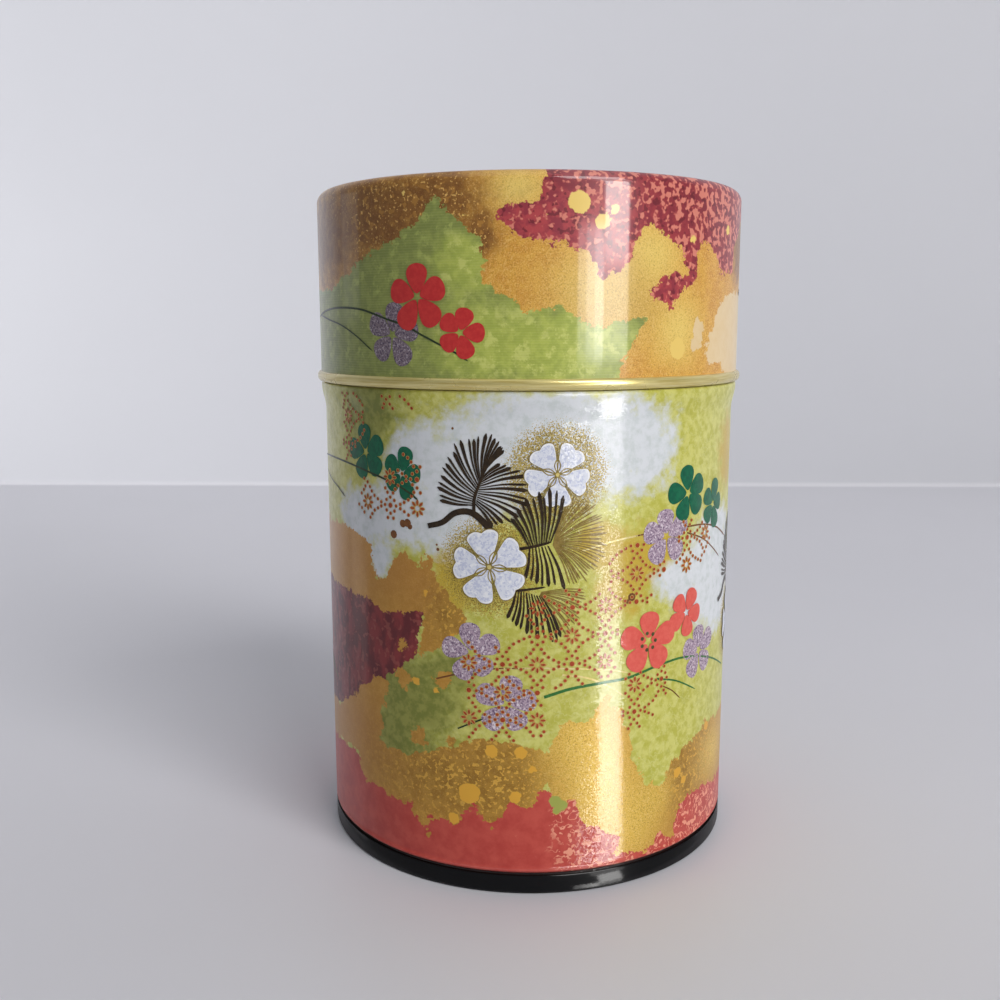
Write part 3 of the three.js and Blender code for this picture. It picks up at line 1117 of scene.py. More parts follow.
def plum_blossom(centre, scale, turn):
    """White blossom with a dark gap round each petal, five gold loops and a round eye."""
    middle = Vector(centre)
    for number in range(PLUM_PETALS):
        degrees = turn + 360 * number / PLUM_PETALS
        plum_petal(plum_outline, middle, degrees, scale, 0.14)
        plum_petal(plum, middle, degrees, scale, 0.0)
        plum_petal(plum_shade, middle, degrees, scale, -0.25)
        heading = pointing(math.radians(degrees + 180 / PLUM_PETALS)) * scale
        across = heading.orthogonal()
        for side in (-1, 1):
            loop = [middle + heading * out + across * wide * side for out, wide in PLUM_LOOP]
            gold_lines.stroke(loop, 0.18, 0.18, 4)
        gold_lines.stroke([middle + heading * 2.6, middle + heading * 4.4], 0.2, 0.14, 3)
    gold_lines.dot(middle, 0.5 * scale, 14)
    plum_eyes.dot(middle, 0.33 * scale, 14)


def needle_fan(paint, roots, angles, lengths, count, widths, shift, bow=0.04):
    """Needles spread evenly between two angles, rooted along a short line.

    Their lengths go from the first to the second, with the third added in the middle.
    """
    draw = random.Random(count)
    first, last = (Vector(root) + Vector(shift) for root in roots)
    for number in range(count):
        share = number / (count - 1)
        start = first.lerp(last, share)
        angle = math.radians(angles[0] + (angles[1] - angles[0]) * share + draw.uniform(-1.5, 1.5))
        length = lengths[0] + (lengths[1] - lengths[0]) * share
        length += lengths[2] * math.sin(math.pi * share)
        reach = pointing(angle) * length * draw.uniform(0.9, 1.05)
        middle = start + reach * 0.5 + reach.orthogonal() * bow
        width = widths[number % 2]
        paint.stroke([start, middle, start + reach], width * 0.3, width, 6, tip=width / 2)


BOLD = (0.7, 0.45)
FINE = (0.32, 0.22)
TWIG = [(-17.2, 64.6), (-14.5, 65.4), (-12, 67.2), (-9, 67.2), (-5.6, 64.2)]


def pine_group(shift):
    """A twig with its fans of needles and two plum blossoms."""
    pine.stroke(moved(TWIG, shift), 0.9, 1.2)
    pine.stroke(moved([(-8.9, 67.3), (-8.7, 70), (-7.2, 74)], shift), 0.62, 0.4)
    needle_fan(pine, [(-8.9, 68.6), (-7, 74.4)], (176, 46), (6, 5, 3), 21, BOLD, shift)
    needle_fan(pine, [(-7.6, 73), (-8.6, 68.8)], (38, -52), (4.5, 4.5, 4.2), 15, BOLD, shift)
    pine.stroke(moved([(-1.6, 61.4), (1.2, 61.9), (3.9, 62.6)], shift), 0.55, 0.4)
    needle_fan(needle_tops, [(0.2, 62), (3.8, 62.5)], (122, 76), (5.5, 9, 1), 11, BOLD, shift,
               bow=-0.04)
    needle_fan(pine, [(0.4, 61.6), (3.4, 62)], (262, 291), (5.8, 7.8, 0), 7, BOLD, shift)
    pine.stroke(moved([(-1.9, 54.4), (0.2, 54.6), (3, 55)], shift), 0.45, 0.3)
    needle_fan(pine, [(-1.8, 54.5), (2.4, 53.4)], (253, 296), (5.2, 8.6, 0.4), 11, BOLD, shift)
    needle_fan(pine_gold, [(4.4, 63), (4.2, 62.2)], (68, -66), (8, 7.8, 1.4), 37, FINE, shift)
    needle_fan(pine_gold, [(2, 53.5), (2.4, 54.2)], (-55, 3), (8, 7.6, 0), 14, FINE, shift)
    for centre, scale, turn in BLOSSOMS:
        plum_blossom((centre[0] + shift[0], centre[1] + shift[1]), scale, turn)


# Groups of small flowers: along, up, size and turn.
TWIN_FLOWERS = [(31, 69, 5, 100), (39.8, 66, 4.3, 76)]
CORAL_FLOWERS = [(22, 44, 5.6, 88), (31.3, 47.6, 4.5, 61)]
LILAC_FLOWERS = [(-9.5, 43.2, 5, 97), (-3.4, 34.5, 5.2, 82)]
LILAC_FLOWER = [(25.6, 62, 5.2, 94)]
SCARLET_FLOWERS = [(-18.6, 102.4, 5.3, 92), (-11, 96.7, 4.2, 70)]
LID_LILAC_FLOWER = [(-23.8, 96.3, 5.2, 85)]
STAMENS = 7
STAMEN_REACH = 1.5
STAMEN_SIZE = 0.35

# Lattice: a rosette and a ring of dots in turn, one cell apart, in rows half a cell apart.
CELL = Vector((5.85, 4.9))
STAR_DOTS = [(0.65, 2.7), (1.15, 2.0), (1.85, 1.3), (2.75, 0.8), (3.6, 0.37)]
STAR_TIP = 3.5
RING = 1.3
RING_TURNS = (45, 135, 225, 315, 0, 180)
DOT = 0.26
MIDDLE_DOT = 0.42
ROSETTE_PETALS = 8
GLOW_WIDTH = 0.1


def lattice(origin, regions):
    """Stars of dots with a rosette in each and a ringed dot between them, inside the regions."""
    def place(spot, size=DOT):
        if any(inside(spot, region) for region in regions):
            dot_glow.dot(spot, size + GLOW_WIDTH, 8)
            rust_dots.dot(spot, size, 8)

    lows = [min(p[axis] for region in regions for p in region) for axis in (0, 1)]
    highs = [max(p[axis] for region in regions for p in region) for axis in (0, 1)]
    spans = [
        range(math.floor((low - start) / cell) - 1, math.ceil((high - start) / cell) + 2)
        for low, high, start, cell in zip(lows, highs, origin, CELL)
    ]
    for column in spans[0]:
        for row in spans[1]:
            centre = Vector((origin[0] + column * CELL.x, origin[1] + row * CELL.y))
            if (column + row) % 2:
                place(centre, MIDDLE_DOT)
                for degrees in RING_TURNS:
                    place(centre + RING * pointing(math.radians(degrees)))
                continue
            for side in (-1, 1):
                place(centre + Vector((0, STAR_TIP * side)))
                for across, up in STAR_DOTS:
                    place(centre + Vector((across, up * side)))
                    place(centre + Vector((-across, up * side)))
            if any(inside(centre, region) for region in regions):
                rosette(centre)


def rosette(centre):
    """Short petals round an open middle."""
    for number in range(ROSETTE_PETALS):
        heading = pointing(TURN * number / ROSETTE_PETALS)
        dot_glow.stroke([centre + heading * 0.45, centre + heading * 1.55], 0.5, 0.7, 3)
        rust_dots.stroke([centre + heading * 0.6, centre + heading * 1.4], 0.24, 0.46, 3, tip=0.2)


# ---------------------------------------------------------------- materials in use

GOLD = gold_lacquer()
BLACK = black_lacquer()
TINPLATE = bright_tinplate()
ALUMINIUM = turned_aluminium()
RIVET = rivet_steel()
PINE = plain_ink("ink_pine", "#2b2015", "#3d2e1c", 0.2)
PINE_GOLD = plain_ink("ink_pine_gold", "#7d672d", "#978042", 0.1)
OUTLINE_GOLD = plain_ink("ink_outline_gold", "#8d7a3c", "#b09c5e", 0.5)
PLUM_RIM = plain_ink("ink_plum_rim", "#eef0f4", "#f4f5f8", 0.0)
PLUM = glitter_ink("ink_plum", "#dfe3ee", "#c6cce2", "#eef0f6", 1.6)
LILAC = glitter_ink("ink_lilac", "#b5a0b0", "#75607a", "#e2d6df", 3.2)
LILAC_DEEP = glitter_ink("ink_lilac_deep", "#85767f", "#52465a", "#b3a9b2", 3.4)
GLOW = plain_ink("ink_dot_glow", "#cfae62", "#c39a55", 0.1)
OLIVE = plain_ink("ink_olive", "#43472a", "#585a37", 0.1)
CORAL = plain_ink("ink_coral", "#dd5a50", "#e4695c", 0.05)
SCARLET = plain_ink("ink_scarlet", "#c42f30", "#cf3a37", 0.1)
VIRIDIAN = plain_ink("ink_viridian", "#0b5a41", "#116b4a", 0.05)
RUST = plain_ink("ink_rust", "#9c3a1f", "#b04a28", 0.1)
GRASS = plain_ink("ink_grass", "#2f6b35", "#3f7d3e", 0.1)
DARK_GRASS = plain_ink("ink_dark_grass", "#27351f", "#34452a", 0.1)
STRAW = plain_ink("ink_straw", "#dcc878", "#e8dba0", 0.3)
UMBER = plain_ink("ink_umber", "#6e4426", "#85552e", 0.2)

# ---------------------------------------------------------------- the tin


def body_outline(fine):
    """The body's outer face, from its foot to the curl of its mouth."""
    reach = BULGE + NECK_FILLET
    rise = math.sqrt(reach ** 2 - NECK_FILLET ** 2)
    shoulder = math.degrees(math.atan2(rise, NECK_FILLET))
    return [
        (FOOT_RADIUS, FOOT_HEIGHT),
        *s_curve((FOOT_RADIUS, NECK_IN_BOTTOM), (BODY_RADIUS, NECK_IN_TOP), fine),
        *s_curve((BODY_RADIUS, BULGE_HEIGHT - BULGE_FLARE), (LID_RADIUS, BULGE_HEIGHT), 2 * fine),
        *arc(BODY_RADIUS, BULGE_HEIGHT, BULGE, 0, shoulder, fine)[1:],
        *arc(BODY_RADIUS + NECK_FILLET, BULGE_HEIGHT + rise, NECK_FILLET, 180 + shoulder, 180,
             fine)[1:],
        *arc(BODY_RADIUS - CURL, MOUTH_HEIGHT - CURL, CURL, 0, 270, 3 * fine),
    ]


def build_body():
    outline = body_outline(8)
    shell = turned("tin_body", sheet_profile(outline), GOLD)
    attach(shell, "tin")
    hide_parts("body_shell")
    return outline


def body_wall(outline):
    """The printed part of the body: from the neck-in over the seam to the lid's rim."""
    printed = [(FILM_FOOT, FOOT_RADIUS, FILM_FOOT)]
    for radius, height in outline:
        if printed[-1][0] < height <= RIM_HEIGHT:
            printed.append((height, radius, height))
    return Wall(BODY_RADIUS, printed, LAP)


# The bottom: a recessed panel with one pressed step, and a rounded foot.
FOOT_WIDTH = 1.7
FOOT_CORNER = 0.5
PANEL_CORNER = 0.6
PANEL_HEIGHT = 3.2
PANEL_STEP = 0.8
PANEL_STEP_RADIUS = 30.0
SEAM_CHAMFER = (0.06, 0.12)


def build_bottom():
    """The black bottom, folded over the foot of the body."""
    wall = BODY_RADIUS - FOOT_WIDTH
    bend = PANEL_STEP / 2
    path = [
        (0, PANEL_HEIGHT + PANEL_STEP),
        *arc(PANEL_STEP_RADIUS - PANEL_STEP, PANEL_HEIGHT + bend, bend, 90, 0, 4),
        *arc(PANEL_STEP_RADIUS, PANEL_HEIGHT + bend, bend, 180, 270, 4)[1:],
        *arc(wall - PANEL_CORNER, PANEL_HEIGHT - PANEL_CORNER, PANEL_CORNER, 90, 0, 6),
        *arc(wall + FOOT_CORNER, FOOT_CORNER, FOOT_CORNER, 180, 270, 6),
        *arc(BODY_RADIUS - FOOT_CORNER, FOOT_CORNER, FOOT_CORNER, 270, 360, 6),
        (BODY_RADIUS, SEAM_HEIGHT - SEAM_CHAMFER[1]),
        (BODY_RADIUS - SEAM_CHAMFER[0], SEAM_HEIGHT),
    ]
    bottom = turned("black_bottom", sheet_profile(path), BLACK)
    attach(bottom, "tin")
    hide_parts("bottom_end")


def build_lid():
    """The lid in one piece: a flat top, a rounded shoulder and a rim rolled into a bead."""
    middle = RIM_HEIGHT + BEAD_HEIGHT / 2
    bead = [
        (LID_RADIUS + BEAD_PROUD * r, middle + BEAD_HEIGHT / 2 * z)
        for r, z in arc(0, 0, 1, -90, 90, 16)
    ]
    profile = [
        (0, HEIGHT - SHEET),
        *arc(TOP_EDGE, SHOULDER_UP, SHOULDER - SHEET, 90, 0, 10),
        *arc(LID_RADIUS, RIM_HEIGHT + SHEET, SHEET, 180, 250, 4),
        *bead,
        *arc(TOP_EDGE, SHOULDER_UP, SHOULDER, 0, 90, 14),
        (0, HEIGHT),
    ]
    lid = turned("tin_lid", profile, GOLD)
    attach(lid, "outer_lid")
    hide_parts("lid_shell")


def lid_wall():
    """The printed part of the lid: from above the bead, over the shoulder, to the middle."""
    table = [(LID_FILM_FOOT, LID_RADIUS, LID_FILM_FOOT)]
    for radius, height in arc(TOP_EDGE, SHOULDER_UP, SHOULDER, 0, 90, 14):
        angle = math.asin(min(1.0, (height - SHOULDER_UP) / SHOULDER))
        table.append((SHOULDER_UP + SHOULDER * angle, radius, height))
    table.append((TOP_UP + TOP_EDGE, 0.0, HEIGHT))
    return Wall(LID_RADIUS, table)


# The inner lid: a flanged pan, and a knob riveted through its middle.
RIVET_HOLE = 1.7
PAN_CORNER = 1.4
FLANGE_CORNER = 0.6
KNOB_WAIST = 3.2
KNOB_FLARE = 0.8
KNOB_EDGE = 1.2
KNOB_FILLET = 0.2
KNOB_NECK = 0.9
KNOB_BORE = 3.3
KNOB_BORE_DEPTH = 1.0
KNOB_BORE_EDGE = 0.25
RIVET_HEAD = 3.0
RIVET_HEAD_HEIGHT = 0.7
RIVET_HEAD_EDGE = 0.4
RIVET_SHANK = 1.4
RIVET_SPREAD = 2.6
RIVET_SPREAD_EDGE = 0.8


def build_pan():
    """The pressed pan, whose flange rests on the mouth of the body."""
    skirt = BODY_RADIUS - 2 * CURL - REST_GAP
    under_flange = pan_high.z - SHEET
    path = [
        (RIVET_HOLE, pan_low.z),
        *arc(skirt - PAN_CORNER, pan_low.z + PAN_CORNER, PAN_CORNER, 270, 360, 8),
        *arc(skirt + FLANGE_CORNER, under_flange - FLANGE_CORNER, FLANGE_CORNER, 180, 90, 6),
        (pan_high.x, under_flange),
    ]
    pan = turned("inner_pan", sheet_profile(path), TINPLATE)
    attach(pan, "inner_lid")
    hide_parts("inner_lid_pan")


def build_knob():
    """A turned knob: a flared foot, a waist, a rounded head and a bore for the rivet."""
    top = knob_high.z
    foot = knob_low.z
    neck = top - 2 * KNOB_EDGE - KNOB_NECK
    under_head = KNOB_WAIST + KNOB_FLARE
    profile = [
        (RIVET_HOLE, foot),
        *arc(under_head, foot + KNOB_FILLET, KNOB_FILLET, 270, 360, 3),
        *s_curve((under_head + KNOB_FILLET, foot + 0.4), (KNOB_WAIST, foot + 2.6), 8),
        *s_curve((KNOB_WAIST, foot + 2.8), (under_head, neck), 6),
        *arc(under_head + KNOB_NECK, neck, KNOB_NECK, 180, 90, 6)[1:],
        *arc(knob_high.x - KNOB_EDGE, top - KNOB_EDGE, KNOB_EDGE, -90, 90, 14),
        *arc(KNOB_BORE + KNOB_BORE_EDGE, top - KNOB_BORE_EDGE, KNOB_BORE_EDGE, 90, 180, 4),
        (KNOB_BORE, top - KNOB_BORE_DEPTH),
        (RIVET_HOLE, top - KNOB_BORE_DEPTH),
    ]
    knob = turned("knob", profile, ALUMINIUM, 96)
    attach(knob, "inner_lid")
    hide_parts("inner_lid_knob")


def build_rivet():
    """A rivet with its head in the knob's bore and its end spread under the pan."""
    foot = rivet_low.z
    top = rivet_high.z
    spread_top = pan_low.z - REST_GAP
    profile = [
        (0, foot),
        *arc(RIVET_SPREAD - RIVET_SPREAD_EDGE, foot + RIVET_SPREAD_EDGE, RIVET_SPREAD_EDGE,
             270, 360, 6),
        (RIVET_SPREAD, spread_top),
        (RIVET_SHANK, spread_top),
        (RIVET_SHANK, top - RIVET_HEAD_HEIGHT),
        (RIVET_HEAD, top - RIVET_HEAD_HEIGHT),
        *arc(RIVET_HEAD - RIVET_HEAD_EDGE, top - RIVET_HEAD_EDGE, RIVET_HEAD_EDGE, 0, 90, 6),
        (0, top),
    ]
    rivet = turned("rivet", profile, RIVET, 64)
    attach(rivet, "inner_lid")
    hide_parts("inner_lid_rivet")


# Spacing of the rows of a printed film: on its curves, on a plain wall and on the lid's top.
FINE_ROWS = 0.15
WALL_ROWS = 0.8
SHOULDER_ROWS = 0.2
TOP_ROWS = 1.0
RIM_CLEARANCE = 0.12


def build_body_film():
    flare_foot = BULGE_HEIGHT - BULGE_FLARE
    rows = [
        FILM_FOOT,
        *np.arange(NECK_IN_BOTTOM, NECK_IN_TOP, FINE_ROWS),
        *np.arange(NECK_IN_TOP, flare_foot, WALL_ROWS),
        *np.arange(flare_foot, RIM_HEIGHT - RIM_CLEARANCE, FINE_ROWS),
    ]
    body_film = film("body_print", BODY_WALL, rows, body_fields, body_print())
    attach(body_film, "tin")


def build_lid_film():
    rows = [
        *np.arange(LID_FILM_FOOT, SHOULDER_UP, WALL_ROWS),
        *np.arange(SHOULDER_UP, TOP_UP, SHOULDER_ROWS),
        *np.arange(TOP_UP, TOP_UP + TOP_EDGE, TOP_ROWS),
        TOP_UP + TOP_EDGE,
    ]
    lid_film = film("lid_print", LID_WALL, rows, lid_fields, lid_print())
    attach(lid_film, "outer_lid")


build_bottom()
build_lid()
build_pan()
build_knob()
build_rivet()
BODY_WALL = body_wall(build_body())
LID_WALL = lid_wall()
build_body_film()
build_lid_film()

# ---------------------------------------------------------------- motifs on the body


def body_ink(name, material, layer):
    return Ink(name, BODY_WALL, material, layer)


pine = body_ink("print_pine", PINE, 3)
needle_tops = body_ink("print_needle_tops", PINE, 8)
pine_gold = body_ink("print_pine_gold", PINE_GOLD, 2)
plum_outline = body_ink("print_plum_outline", OUTLINE_GOLD, 4)
plum = body_ink("print_plum", PLUM_RIM, 5)
plum_shade = body_ink("print_plum_shade", PLUM, 6)
gold_lines = body_ink("print_plum_lines", OUTLINE_GOLD, 7)
plum_eyes = body_ink("print_plum_eyes", STRAW, 8)
lilac = body_ink("print_lilac", LILAC, 1)
coral = body_ink("print_coral", CORAL, 5)
stamens = body_ink("print_stamens", OLIVE, 6)
viridian = body_ink("print_viridian", VIRIDIAN, 2)
dot_glow = body_ink("print_dot_glow", GLOW, 3)
rust_dots = body_ink("print_rust_dots", RUST, 4)
grass = body_ink("print_grass", GRASS, 1)
dark_grass = body_ink("print_dark_grass", DARK_GRASS, 3)
straw = body_ink("print_straw", STRAW, 0)
umber = body_ink("print_umber", UMBER, 0)

# Where each group of motifs comes again round the body: along and up.
TWIN_REPEATS = [(0, 0), (-62.3, 7.1), (61, -26), (112, 3)]
CORAL_REPEATS = [(0, 0), (66, 17), (-96, -2)]
LILAC_REPEATS = [(0, 0), (-58, 9), (72, -8)]
LONE_LILAC_REPEATS = [(0, 0), (10.2, -22.4), (-94, 12), (88, 6)]

CORAL_STEM = [
    (2.9, 35.9), (7.5, 37.2), (13, 37.8), (18, 38.1), (24, 39.2), (30, 39.5), (36, 38.4),
    (42, 36.5), (50, 33),
]
LEFT_STEM = [
    (-60, 72.6), (-52, 73.6), (-44, 73.9), (-36, 73.5), (-29, 72.4), (-24, 71.2), (-20.8, 69.9),
    (-19.1, 68.8),
]
# Areas of the lattice, and the place of one of its stars.
LATTICE_ORIGIN = (1.75, 41.6)
LATTICE_AREAS = [
    [(-10, 28), (-5, 28), (2.6, 28.4), (3.6, 31), (2, 37), (9, 37.5), (16, 39), (16.5, 49),
     (11, 55), (5, 54.5), (-1, 52), (0, 46.5), (-6, 44.8), (-10, 45.2)],
    [(16.4, 28.4), (21, 28.2), (27, 34), (26, 41), (17, 38.4)],
    [(28, 56), (36, 56), (39, 60), (34, 65), (29, 64)],
    [(14, 50), (22, 51), (26, 57), (20, 62), (14, 60)],
    [(84, 58), (98, 50), (108, 60), (100, 74), (86, 72)],
]
LEFT_LATTICE_ORIGIN = (-19.25, 67.4)
LEFT_LATTICE_AREAS = [
    [(-34, 65), (-30, 64.6), (-22, 64.6), (-18.4, 68), (-18.4, 75), (-21, 78), (-27, 70.4),
     (-33, 72)],
    [(-40, 74), (-36, 74), (-31, 80.5), (-31, 86.5), (-39, 86.5)],
    [(-27, 83.5), (-19, 84), (-19, 86.5), (-27, 86.5)],
    [(-110, 40), (-96, 36), (-84, 46), (-88, 58), (-104, 56)],
]
BROWN_SPOTS = [
    (-22.4, 64.5, 0.7), (-21.4, 64.7, 0.75), (-20.9, 64.1, 0.5), (-24.5, 62.4, 0.75),
    (-15.4, 60.7, 0.3), (-15.6, 61.5, 0.2), (-12.5, 81.2, 0.22), (18.4, 52.3, 0.75),
    (17.6, 51.6, 0.4),
]


def coral_group(shift):
    """Two coral flowers, the first with stamens, over long and short stems."""
    flowers(coral, CORAL_FLOWERS, shift)
    heart = Vector(CORAL_FLOWERS[0][:2]) + Vector(shift)
    for number in range(STAMENS):
        stamens.dot(heart + STAMEN_REACH * pointing(TURN * number / STAMENS), STAMEN_SIZE)
    grass.stroke(moved(CORAL_STEM, shift), 0.55, 0.3)
    grass.stroke(moved([(24, 36.9), (29, 35.5), (35, 32.5)], shift), 0.35, 0.25)
    umber.stroke(moved([(25.5, 35.3), (28, 33.9), (30.2, 32)], shift), 0.22, 0.22)
    straw.stroke(moved([(-5, 40.8), (2, 41), (8, 40.7), (14, 40), (18, 39)], shift), 0.3, 0.25)
    straw.stroke(moved([(6, 39.7), (10, 39), (14, 37.2), (17.4, 34.8)], shift), 0.35, 0.25)


def lilac_group(shift):
    """Two lilac flowers on short stems."""
    flowers(lilac, LILAC_FLOWERS, shift)
    umber.stroke(moved([(-16, 38), (-11, 39.6), (-5, 40.8), (0, 40.9)], shift), 0.3, 0.2)
    dark_grass.stroke(moved([(-12, 29.6), (-10, 30.6), (-7.4, 31.8)], shift), 0.25, 0.3)


def single_stems():
    """Stems that come only once, at the upper right and the left."""
    straw.stroke([(9, 60.9), (15, 62.3), (20, 62.9)], 0.3, 0.3)
    across = [(19, 62.8), (23, 63.1), (29, 63.1), (36, 62.8), (42, 61.4), (48, 58.8)]
    umber.stroke(across, 0.26, 0.35)
    umber.stroke([(31, 62), (36, 60.3), (40, 58.1), (44, 55.6)], 0.3, 0.25)
    dark_grass.stroke(LEFT_STEM, 0.3, 0.35)
    dark_grass.stroke([(-52, 70.8), (-46, 69.4), (-42.5, 68.6), (-39, 67.3)], 0.2, 0.3)


for shift in PINE_REPEATS:
    pine_group(shift)
for shift in TWIN_REPEATS:
    flowers(viridian, TWIN_FLOWERS, shift)
for shift in CORAL_REPEATS:
    coral_group(shift)
for shift in LILAC_REPEATS:
    lilac_group(shift)
for shift in LONE_LILAC_REPEATS:
    flowers(lilac, LILAC_FLOWER, shift)
single_stems()
lattice(LATTICE_ORIGIN, LATTICE_AREAS)
lattice(LEFT_LATTICE_ORIGIN, LEFT_LATTICE_AREAS)
for along, up, size in BROWN_SPOTS:
    umber.dot((along, up), size)

for paint in (pine, needle_tops, pine_gold, plum_outline, plum, plum_shade, gold_lines,
              plum_eyes, lilac, coral, stamens, viridian, dot_glow, rust_dots, grass,
              dark_grass, straw, umber):
    paint.make("tin", "printed_body")

# ---------------------------------------------------------------- motifs on the lid


def lid_ink(name, material, layer):
    return Ink(name, LID_WALL, material, layer)


lid_scarlet = lid_ink("lid_scarlet", SCARLET, 3)
lid_lilac = lid_ink("lid_lilac", LILAC_DEEP, 1)
lid_grass = lid_ink("lid_grass", DARK_GRASS, 2)

LID_REPEATS = [(0, 0), (104, 4), (-100, 6)]
LID_STEM = [
    (-52, 99.4), (-45, 100.5), (-38, 100.9), (-32, 100.6), (-28.5, 99.9), (-25, 98.9),
    (-21, 97.8), (-18, 96.4), (-15, 95), (-12, 93.6), (-9.7, 92.2),
]
LID_LOWER_STEM = [(-49, 99.6), (-44, 98.9), (-38, 97.9), (-33, 96.1), (-28.5, 93.6)]

for shift in LID_REPEATS:
    flowers(lid_scarlet, SCARLET_FLOWERS, shift)
    flowers(lid_lilac, LID_LILAC_FLOWER, shift)
    lid_grass.stroke(moved(LID_STEM, shift), 0.4, 0.3)
    lid_grass.stroke(moved(LID_LOWER_STEM, shift), 0.3, 0.24)

for paint in (lid_scarlet, lid_lilac, lid_grass):
    paint.make("outer_lid", "printed_lid")

# ---------------------------------------------------------------- stage, light and camera

CAMERA_DISTANCE = 213.1
CAMERA_HEIGHT = 98.5
CAMERA_YAW = math.radians(-1.478)
CAMERA_PITCH = math.radians(9.427)
CAMERA_ROLL = math.radians(-0.106)
CAMERA_LENS = 38.75
SENSOR_WIDTH = 36


def add_camera():
    """Stands in front of the caddy, a little under its lid, and looks slightly down."""
    forward = Vector((
        math.sin(CAMERA_YAW) * math.cos(CAMERA_PITCH),
        math.cos(CAMERA_YAW) * math.cos(CAMERA_PITCH),
        -math.sin(CAMERA_PITCH),
    ))
    right = Vector((math.cos(CAMERA_YAW), -math.sin(CAMERA_YAW), 0))
    up = right.cross(forward)
    turn = Matrix.Rotation(-CAMERA_ROLL, 3, forward)
    axes = Matrix((turn @ right, turn @ up, turn @ -forward)).transposed()
    data = bpy.data.cameras.new("camera")
    data.lens = CAMERA_LENS
    data.sensor_width = SENSOR_WIDTH
    data.clip_start = 0.01
    data.clip_end = 20
    camera = bpy.data.objects.new("camera", data)
    place = Matrix.Translation((0, -CAMERA_DISTANCE * MM, CAMERA_HEIGHT * MM))
    camera.matrix_world = place @ axes.to_4x4()
    bpy.context.scene.collection.objects.link(camera)
    bpy.context.scene.camera = camera


SUNLIT = (1.0, 0.985, 0.97)
SKYLIT = (0.96, 0.97, 1.0)
WORLD_STRENGTH = 0.18


def around(degrees, distance, height):
    """A place round the caddy, counted from the front towards the right."""
    angle = math.radians(degrees)
    return (distance * math.sin(angle), -distance * math.cos(angle), height)


def aim_light(name, data, place, aim):
    """Stands a light at a place and points it at the aim."""
    light = bpy.data.objects.new(name, data)
    light.location = place
    light.rotation_euler = (Vector(aim) - Vector(place)).to_track_quat("-Z", "Y").to_euler()
    bpy.context.scene.collection.objects.link(light)


def add_area(name, place, aim, size, power, color):
    """A soft rectangular light, sizes in metres."""
    data = bpy.data.lights.new(name, "AREA")
    data.shape = "RECTANGLE"
    data.size, data.size_y = size
    data.energy = power
    data.color = color
    aim_light(name, data, place, aim)


def add_spot(name, place, aim, cone, power):
    """A soft-edged spot light that washes the wall and stays off the caddy."""
    data = bpy.data.lights.new(name, "SPOT")
    data.spot_size = math.radians(cone)
    data.spot_blend = 1.0
    data.shadow_soft_size = 0.1
    data.energy = power
    aim_light(name, data, place, aim)


def stage_material():
    shader = Shader("stage")
    cloud = shader.noise(0.008, 3)
    floor = shader.mix(cloud, "#dadae0", "#dfdfe5")
    wall = shader.mix(cloud, "#c5c6cc", "#c8c9cf")
    color = shader.mix(shader.fade(split_height(shader), 0.0, WALL_BEND), floor, wall)
    return shader.finish(color, 0.0, 0.45, gloss=0.25)


WALL_DEPTH = 430.0
WALL_BEND = 3.0
BEND_STEPS = 8
STAGE_REACH = 1600.0


def add_stage():
    """A pale floor that bends up into a pale wall behind the caddy."""
    line = [(-STAGE_REACH, 0.0), (0.0, 0.0)]
    for step in range(BEND_STEPS + 1):
        angle = math.pi / 2 * step / BEND_STEPS
        depth = WALL_DEPTH + WALL_BEND * math.sin(angle)
        line.append((depth, WALL_BEND - WALL_BEND * math.cos(angle)))
    line.append((WALL_DEPTH + WALL_BEND, STAGE_REACH))
    vertices = [(x, y, z) for y, z in line for x in (-STAGE_REACH, STAGE_REACH)]
    faces = [(2 * i, 2 * i + 1, 2 * i + 3, 2 * i + 2) for i in range(len(line) - 1)]
    floor = link_mesh("floor", vertices, faces, stage_material())


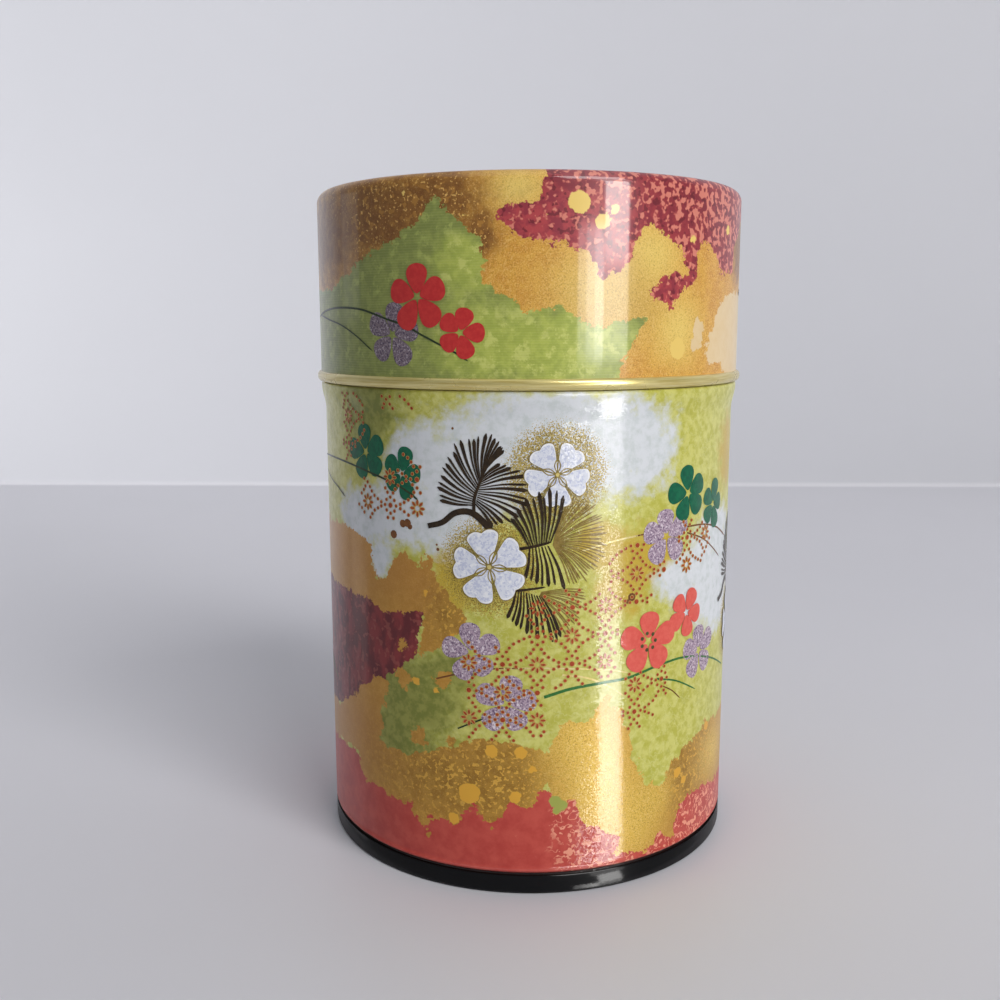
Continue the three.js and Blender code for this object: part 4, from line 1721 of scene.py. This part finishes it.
def add_world():
    world = bpy.data.worlds.new("world")
    world.use_nodes = True
    background = world.node_tree.nodes["Background"]
    background.inputs[0].default_value = ink("#e6e7ea")
    background.inputs[1].default_value = WORLD_STRENGTH
    bpy.context.scene.world = world


# Lights, in metres. Panes of one tall window: lowest and highest point, width and strength.
WINDOW_SIDE = 45.5
WINDOW_DISTANCE = 1.75
PANES = [(0.03, 0.2, 0.4, 17), (0.2, 0.7, 0.4, 36), (0.7, 1.25, 0.6, 8)]
CURTAIN_SIDE = 36.4
CURTAIN_STEP = 4.5
CURTAIN_HEIGHT = 0.145
CURTAIN_SIZE = (0.14, 0.23)
CURTAIN_POWERS = (1.15, 0.8, 0.4)
DOORWAY_SIDE = -106
DOORWAY_HEIGHT = 0.18
DOORWAYS = [(0.3, 0.07), (0.15, 0.05)]


def add_lights():
    """A window on the right with its curtain, a doorway on the left, and a soft ceiling."""
    for number, (low, high, width, strength) in enumerate(PANES):
        middle = (low + high) / 2
        size = (width, high - low)
        power = strength * size[0] * size[1]
        place = around(WINDOW_SIDE, WINDOW_DISTANCE, middle)
        add_area(f"pane_{number}", place, (0, 0, middle), size, power, SUNLIT)
    for strip, power in enumerate(CURTAIN_POWERS):
        side = CURTAIN_SIDE - CURTAIN_STEP * strip
        place = around(side, WINDOW_DISTANCE, CURTAIN_HEIGHT)
        add_area(f"curtain_{strip}", place, (0, 0, CURTAIN_HEIGHT), CURTAIN_SIZE, power, SUNLIT)
    add_area("high_window", around(38, 1.7, 1.6), (0, 0, 0.1), (1.2, 0.8), 19.5, SUNLIT)
    for width, power in DOORWAYS:
        place = around(DOORWAY_SIDE, 1.1, DOORWAY_HEIGHT)
        add_area(f"doorway_{width}", place, (0, 0, DOORWAY_HEIGHT), (width, 0.16), power, SUNLIT)
    add_area("ceiling", (0.0, 0.0, 1.9), (0, 0, 0), (2.0, 2.0), 7, SKYLIT)
    add_spot("wall_wash", (-0.9, -0.6, 0.14), (-0.36, 0.43, 0.25), 52, 32)


add_camera()
add_stage()
add_world()
add_lights()
bpy.context.scene.view_settings.view_transform = "Standard"
